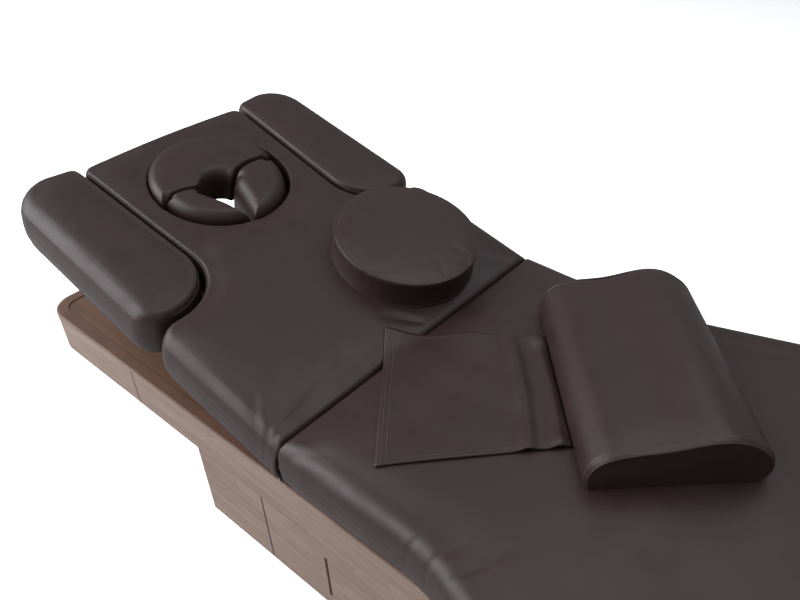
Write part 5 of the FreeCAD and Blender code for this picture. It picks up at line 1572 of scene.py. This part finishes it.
class NeckPillow(Builder):
    """The two-lobed neck pillow and the leather flap that hangs from it."""

    NEAR = Vector((0.500, -0.145, TOP_Z + 0.0003))
    TURN = math.radians(132.7)
    LENGTH = 0.484
    WIDTH = 0.320
    HEIGHT = 0.116
    PROFILE_SHARES = (
        (0.0, 0.07), (-0.012, 0.36), (0.03, 0.61), (0.13, 0.77), (0.30, 0.81), (0.46, 0.87), (0.60, 0.97),
        (0.71, 1.0), (0.82, 0.92), (0.92, 0.73), (0.985, 0.46), (0.975, 0.22), (0.93, 0.09),
    )
    FLAP: tuple[Plan, ...] = ((-0.039, -0.046), (0.197, -0.327), (0.435, -0.077), (0.235, 0.137))
    FLAP_SIDES = (0.341, 0.367)
    FLAP_T = 0.003
    FLAP_STEPS = 72

    def place(self, along: float, across: float, height: float) -> Vector:
        """Turn a place on the pillow into one of the model's frame."""
        cos, sin = math.cos(self.TURN), math.sin(self.TURN)
        return self.NEAR + Vector((along * cos + across * sin, along * sin - across * cos, height))

    def profile(self, share: float = 1.0) -> list[Plan]:
        """Smooth section of the pillow, drawn in about its middle by a share."""
        shares = np.array(self.PROFILE_SHARES)
        runs = np.concatenate([[0.0], np.cumsum(np.linalg.norm(np.diff(shares, axis=0), axis=1))])
        fine = np.linspace(0.0, runs[-1], 80)
        across = np.interp(fine, runs, shares[:, 0]) * self.WIDTH
        height = np.interp(fine, runs, shares[:, 1]) * self.HEIGHT
        for _ in range(6):
            across[1:-1] = 0.25 * across[:-2] + 0.5 * across[1:-1] + 0.25 * across[2:]
            height[1:-1] = 0.25 * height[:-2] + 0.5 * height[1:-1] + 0.25 * height[2:]
        middle = 0.5 * self.WIDTH
        return [(middle + (a - middle) * share, h * share) for a, h in zip(across, height)]

    def build(self) -> None:
        """Make the pillow, its trim and the flap."""
        pad = SoftPad("neck_pillow_cushion", "neck_pillow", "pillow", Level.MIDDLE, crown=0.004, swell=0.002,
                      held_below=TOP_Z + 0.016, ease=0.0015, fill=0.85).build(self.nodes)
        tree = surface_of(pad)
        paths: Paths = []
        rows: Paths = []
        for end, inward in ((0.002, 1.0), (self.LENGTH - 0.002, -1.0)):
            edge = [self.place(end, a, h) for a, h in self.profile(0.97)]
            paths.append((calm(on_surface(tree, edge, 0.0006), False, 4), False))
            inside = [self.place(end + inward * 0.010, a, h) for a, h in self.profile(0.985)]
            rows.append((on_surface(tree, inside, TRIM_LIFT), False))
        attach(welt("neck_pillow_welts", paths, CUSHION_WELT_R), "pillow")
        attach(stitches("neck_pillow_stitching", rows), "pillow")
        self.build_flap()

    def ground(self) -> BVHTree:
        """Search tree over the two cushions that the flap lies on."""
        mesh = bmesh.new()
        for name in ("leg_cushion", "back_cushion"):
            mesh.from_mesh(bpy.data.objects[name].data)
        tree = BVHTree.FromBMesh(mesh)
        mesh.free()
        return tree

    def flap_height(self, across: float, along: float) -> float:
        """How far the flap stands off what it lies on: soft folds, a wavy edge and two puckers.

        Args:
            across: Share of the way from the free edge to the pillow.
            along: Share of the way from the near edge to the far edge.

        Returns:
            Height in metres.
        """
        sway = 0.025 * math.sin(3.0 * along)
        fold = 0.0075 * math.exp(-((across - 0.77 - sway) / 0.045) ** 2)
        fold += 0.0050 * math.exp(-((across - 0.93 - sway) / 0.035) ** 2)
        ripple = 0.0016 * math.sin(9.0 * along + 5.0 * across) * (1.0 - abs(2.0 * across - 1.0))
        wave = 0.0022 * math.exp(-((along - 1.0) / 0.10) ** 2) * (1.0 + math.sin(14.0 * across))
        pucker = 0.0050 * math.exp(-((across - 0.97) / 0.05) ** 2 - ((along - 0.94) / 0.05) ** 2)
        pull = 0.0045 * math.exp(-((across - 0.95) / 0.06) ** 2 - ((along - 0.05) / 0.05) ** 2)
        return 0.0012 + fold + abs(ripple) + wave + pucker + pull

    def build_flap(self) -> None:
        """Make the flap as a thin folded sheet with stitching."""
        ground = self.ground()
        head, near, foot, far = (Vector(corner) for corner in self.FLAP)
        steps = self.FLAP_STEPS
        heights = np.zeros((steps + 1, steps + 1))
        plan = np.zeros((steps + 1, steps + 1, 2))
        for i in range(steps + 1):
            for j in range(steps + 1):
                across, along = i / steps, j / steps
                low = near.lerp(foot, across)
                high = head.lerp(far, across)
                spot = low.lerp(high, along)
                plan[i, j] = spot
                place, _, _, _ = ground.ray_cast(Vector((spot.x, spot.y, 1.0)), Vector((0.0, 0.0, -1.0)))
                heights[i, j] = place.z if place is not None else TOP_Z
        heights = np.maximum(heights, TOP_Z - 0.012)
        bridged = heights.copy()
        for _ in range(30):
            padded = np.pad(bridged, 1, mode="edge")
            mean = 0.25 * (padded[:-2, 1:-1] + padded[2:, 1:-1] + padded[1:-1, :-2] + padded[1:-1, 2:])
            bridged = np.maximum(mean, heights)
        for i in range(steps + 1):
            for j in range(steps + 1):
                bridged[i, j] += self.flap_height(i / steps, j / steps)
        self.make_flap(plan, bridged)

    def make_flap(self, plan: np.ndarray, heights: np.ndarray) -> None:
        """Turn the flap's plan and heights into a closed sheet, with its stitching."""
        count = plan.shape[0]
        points = [(plan[i, j, 0], plan[i, j, 1], heights[i, j]) for i in range(count) for j in range(count)]
        points += [(x, y, z + self.FLAP_T) for x, y, z in points]
        layer = count * count
        faces = []
        for i in range(count - 1):
            for j in range(count - 1):
                quad = (i * count + j, (i + 1) * count + j, (i + 1) * count + j + 1, i * count + j + 1)
                faces.append(tuple(reversed(quad)))
                faces.append(tuple(layer + k for k in quad))
        rim = [i * count for i in range(count)]
        rim += [(count - 1) * count + j for j in range(1, count)]
        rim += [i * count + count - 1 for i in range(count - 2, -1, -1)]
        rim += [j for j in range(count - 2, 0, -1)]
        for first, second in zip(rim, rim[1:] + rim[:1]):
            faces.append((first, second, layer + second, layer + first))
        mesh = bpy.data.meshes.new("leather_flap")
        mesh.from_pydata(points, [], faces)
        flap = link("leather_flap", mesh)
        check = bmesh.new()
        check.from_mesh(mesh)
        bmesh.ops.recalc_face_normals(check, faces=check.faces)
        check.to_mesh(mesh)
        check.free()
        dress(flap, "leather")
        tops = np.array(points[layer:]).reshape(count, count, 3)
        stitching = self.flap_stitching(tops)
        for piece in (flap, stitching):
            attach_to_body(piece, "pillow")
            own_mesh(piece)
        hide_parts("pillow_flap")

    def flap_area(self) -> float:
        """Area of the flap's plan."""
        total = 0.0
        for (x0, y0), (x1, y1) in zip(self.FLAP, self.FLAP[1:] + self.FLAP[:1]):
            total += 0.5 * (x0 * y1 - x1 * y0)
        return abs(total)

    def flap_stitching(self, tops: np.ndarray) -> bpy.types.Object:
        """Rows of stitches inside the flap's free edges.

        Args:
            tops: Grid of points on the flap's upper face.

        Returns:
            The stitches as one piece.
        """
        last = tops.shape[0] - 1
        inset, hem = 2, 4
        across, along = range(inset, last - inset + 1), range(hem, last - 1)
        rows = [[(row, j) for j in across] for row in (inset, hem)]
        rows += [[(i, column) for i in along] for column in (inset, last - inset)]
        lift = Vector((0.0, 0.0, TRIM_LIFT))
        return stitches("flap_stitching", [([Vector(tops[spot]) + lift for spot in row], False) for row in rows])


class Cabinet(Builder):
    """Painted shadow lines in the cabinet's joints, painted shade on the drawer fronts' edges, and the screws under
    its frames.
    """

    SEAM_HALF = 0.0014
    BAND = 0.0028
    BAND_DEPTH = 0.012
    BAND_SHORT = 0.004
    PROUD = 0.0002
    SCREWED = {"back_frame": "backrest", "chassis_frame": "carriage", "box_floor": "cabinet"}
    SHARES = ((0.04, 0.10), (0.04, 0.90), (0.35, 0.04), (0.35, 0.96), (0.65, 0.04), (0.65, 0.96), (0.96, 0.10),
              (0.96, 0.90))

    def build(self) -> None:
        """Make the painted shadow lines in the joints, the painted shade bands on the drawers' edges and the screws.
        """
        # Painted shadow: dark strips in the joints where the long sides meet the head-end piece.
        self.joint_lines()
        # Painted shade: dark strips on the upright edges of each drawer front stand in for the shadow in the gaps
        # between the fronts.
        for drawer in ("near_head", "near_foot", "far_head", "far_foot"):
            self.edge_bands(drawer)
        for node, body in self.SCREWED.items():
            spots = self.spots_under(node)
            if spots:
                attach(fasteners(f"{node}_screws", spots, screw_head(SCREW_R), "bright_steel"), body)

    def joint_lines(self) -> None:
        """Dark line where each long side meets the head-end piece, painted shadow of the groove between them."""
        bottom, top = (corner[2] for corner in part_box("head_end_panel"))
        blocks = []
        for node in ("side_panel_near", "side_panel_far"):
            low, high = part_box(node)
            side = -1.0 if node.endswith("near") else 1.0
            face = low[1] if side < 0.0 else high[1]
            middle = (low[0] - 0.0004, face + side * (self.PROUD - 0.002), 0.5 * (bottom + top) - 0.004)
            blocks.append((middle, (2.0 * self.SEAM_HALF, 0.004, top - bottom - 0.008)))
        self.dark_blocks("cabinet_joint_lines", blocks, "cabinet")

    def dark_blocks(self, name: str, blocks: Iterable[tuple[Corner, Corner]], body: str) -> None:
        """Thin dark blocks of painted shade, standing for the shadow in a joint or gap.

        Args:
            name: Name of the piece that they make up.
            blocks: Middle and size of each.
            body: The body that carries them.
        """
        mesh = bmesh.new()
        for middle, size in blocks:
            bmesh.ops.create_cube(mesh, size=1.0, matrix=Matrix.Translation(middle) @ Matrix.Diagonal((*size, 1.0)))
        piece = link(name, kept(name, mesh))
        piece.data.materials.append(Shelf.get("seam_shadow"))
        attach(piece, body)

    def edge_bands(self, drawer: str) -> None:
        """Dark bands on both upright edges of a drawer front, painted shade of the gaps between the fronts.

        Args:
            drawer: Side and end of the cabinet that the drawer is on.
        """
        low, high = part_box(f"drawer_front_{drawer}")
        side = -1.0 if drawer.startswith("near") else 1.0
        face = low[1] if side < 0.0 else high[1]
        size = (self.BAND, self.BAND_DEPTH, high[2] - low[2] - self.BAND_SHORT)
        blocks = [((edge + way * (self.PROUD - 0.5 * self.BAND), face + side * (self.PROUD - 0.5 * self.BAND_DEPTH),
                    0.5 * (low[2] + high[2])), size) for way, edge in ((-1.0, low[0]), (1.0, high[0]))]
        self.dark_blocks(f"drawer_edge_bands_{drawer}", blocks, f"drawer_{drawer}")

    def spots_under(self, node: str) -> list[tuple[Vector, Vector, Vector]]:
        """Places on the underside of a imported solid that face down.

        Args:
            node: Name of the solid.

        Returns:
            Place, facing and lie of a screw for each place found.
        """
        low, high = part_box(node)
        tree = surface_of(self.nodes[node])
        spots = []
        for along, across in self.SHARES:
            start = Vector((low[0] + along * (high[0] - low[0]), low[1] + across * (high[1] - low[1]), low[2] - 0.1))
            place, normal, _, _ = tree.ray_cast(start, Vector((0.0, 0.0, 1.0)))
            if place is not None and normal.z < -0.9:
                spots.append((place, normal, Vector((1.0, 0.0, 0.0))))
        return spots


class Studio:
    """Floor, light and camera."""

    CAMERA = Vector((0.8509, -0.9262, 1.4622))
    YAW = math.radians(40.2)
    PITCH = math.radians(37.1)
    ROLL = math.radians(-0.7)
    FOCAL_PX = 773.6
    PHOTO_W = 800.0
    MIDDLE_PX = 438.6
    SENSOR = 36.0

    def build(self) -> None:
        """Set the stage."""
        self.make_world()
        self.make_floor()
        self.make_lights()
        self.make_camera()

    def make_world(self) -> None:
        """White for the camera and a soft grey light for the rest."""
        world = bpy.data.worlds.new("studio")
        bpy.context.scene.world = world
        world.use_nodes = True
        graph = Graph(world.node_tree)
        path = graph.add("ShaderNodeLightPath")
        seen = graph.add("ShaderNodeBackground", {"Color": (1.0, 1.0, 1.0, 1.0), "Strength": 1.0})
        soft = graph.add("ShaderNodeBackground", {"Color": (0.95, 0.97, 1.0, 1.0), "Strength": 0.30})
        both = graph.add("ShaderNodeMixShader", {0: path.outputs["Is Camera Ray"], 1: soft.outputs[0],
                                                 2: seen.outputs[0]})
        graph.add("ShaderNodeOutputWorld", {"Surface": both.outputs[0]})

    def make_floor(self) -> None:
        """Pale floor that shows as white where no shadow falls on it."""
        mesh = bpy.data.meshes.new("floor")
        half = 12.0
        mesh.from_pydata([(-half, -half, 0.0), (half, -half, 0.0), (half, half, 0.0), (-half, half, 0.0)], [],
                         [(0, 1, 2, 3)])
        floor = link("floor", mesh)
        material = bpy.data.materials.new("pale_floor")
        material.use_nodes = True
        graph = Graph(material.node_tree)
        path = graph.add("ShaderNodeLightPath")
        tone = graph.blend(path.outputs["Is Camera Ray"], (0.55, 0.54, 0.53, 1.0), (2.10, 2.08, 2.06, 1.0))
        skin = graph.add("ShaderNodeBsdfDiffuse", {"Color": tone})
        graph.add("ShaderNodeOutputMaterial", {"Surface": skin.outputs[0]})
        mesh.materials.append(material)

    def make_lights(self) -> None:
        """One broad light from the near side of the head and a weak one from above."""
        self.make_light("key", (-2.7, -2.5, 2.7), (0.0, 0.0, 0.3), 4.2, 205.0)
        self.make_light("fill", (0.6, 1.0, 3.6), (0.2, 0.0, 0.3), 3.0, 30.0)

    def make_light(self, name: str, place: Sequence[float], aim: Sequence[float], size: float, power: float) -> None:
        """Add one square area light.

        Args:
            name: Name of the light.
            place: Where it stands.
            aim: What it points at.
            size: Its side.
            power: Its power in watts.
        """
        data = bpy.data.lights.new(name, "AREA")
        data.size = size
        data.energy = power
        data.color = (0.95, 0.97, 1.0)
        light = bpy.data.objects.new(name, data)
        light.location = place
        light.rotation_euler = (Vector(aim) - Vector(place)).to_track_quat("-Z", "Y").to_euler()
        bpy.context.scene.collection.objects.link(light)

    def make_camera(self) -> None:
        """Camera from the photograph's place and angle."""
        data = bpy.data.cameras.new("camera")
        data.sensor_width = self.SENSOR
        data.lens = self.SENSOR * self.FOCAL_PX / self.PHOTO_W
        data.shift_x = (0.5 * self.PHOTO_W - self.MIDDLE_PX) / self.PHOTO_W
        camera = bpy.data.objects.new("camera", data)
        cos, sin = math.cos(self.PITCH), math.sin(self.PITCH)
        ahead = Vector((-math.sin(self.YAW) * cos, math.cos(self.YAW) * cos, -sin))
        right = Vector((math.cos(self.YAW), math.sin(self.YAW), 0.0))
        up = right.cross(ahead)
        right_rolled = math.cos(self.ROLL) * right + math.sin(self.ROLL) * up
        up_rolled = right_rolled.cross(ahead)
        turn = Matrix((right_rolled, up_rolled, -ahead)).transposed()
        camera.matrix_world = Matrix.Translation(self.CAMERA) @ turn.to_4x4()
        bpy.context.scene.collection.objects.link(camera)
        bpy.context.scene.camera = camera
        bpy.context.scene.view_settings.view_transform = "Standard"


def main() -> None:
    """Build the whole scene."""
    logging.basicConfig(level=logging.INFO, format="%(name)s: %(message)s")
    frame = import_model()
    nodes = frame["nodes"]
    slots = {name: node.data.materials[0].name.split(".")[0] for name, node in nodes.items()}
    parts: list[Builder] = [kind(nodes, slots) for kind in (
        LegCushion, BackCushion, ArmRests, FaceRest, RoundCushion, NeckPillow, Cabinet)]
    parts[0].dress_nodes()
    for part in parts:
        part.build()
    Studio().build()


if __name__ == "__main__":
    main()
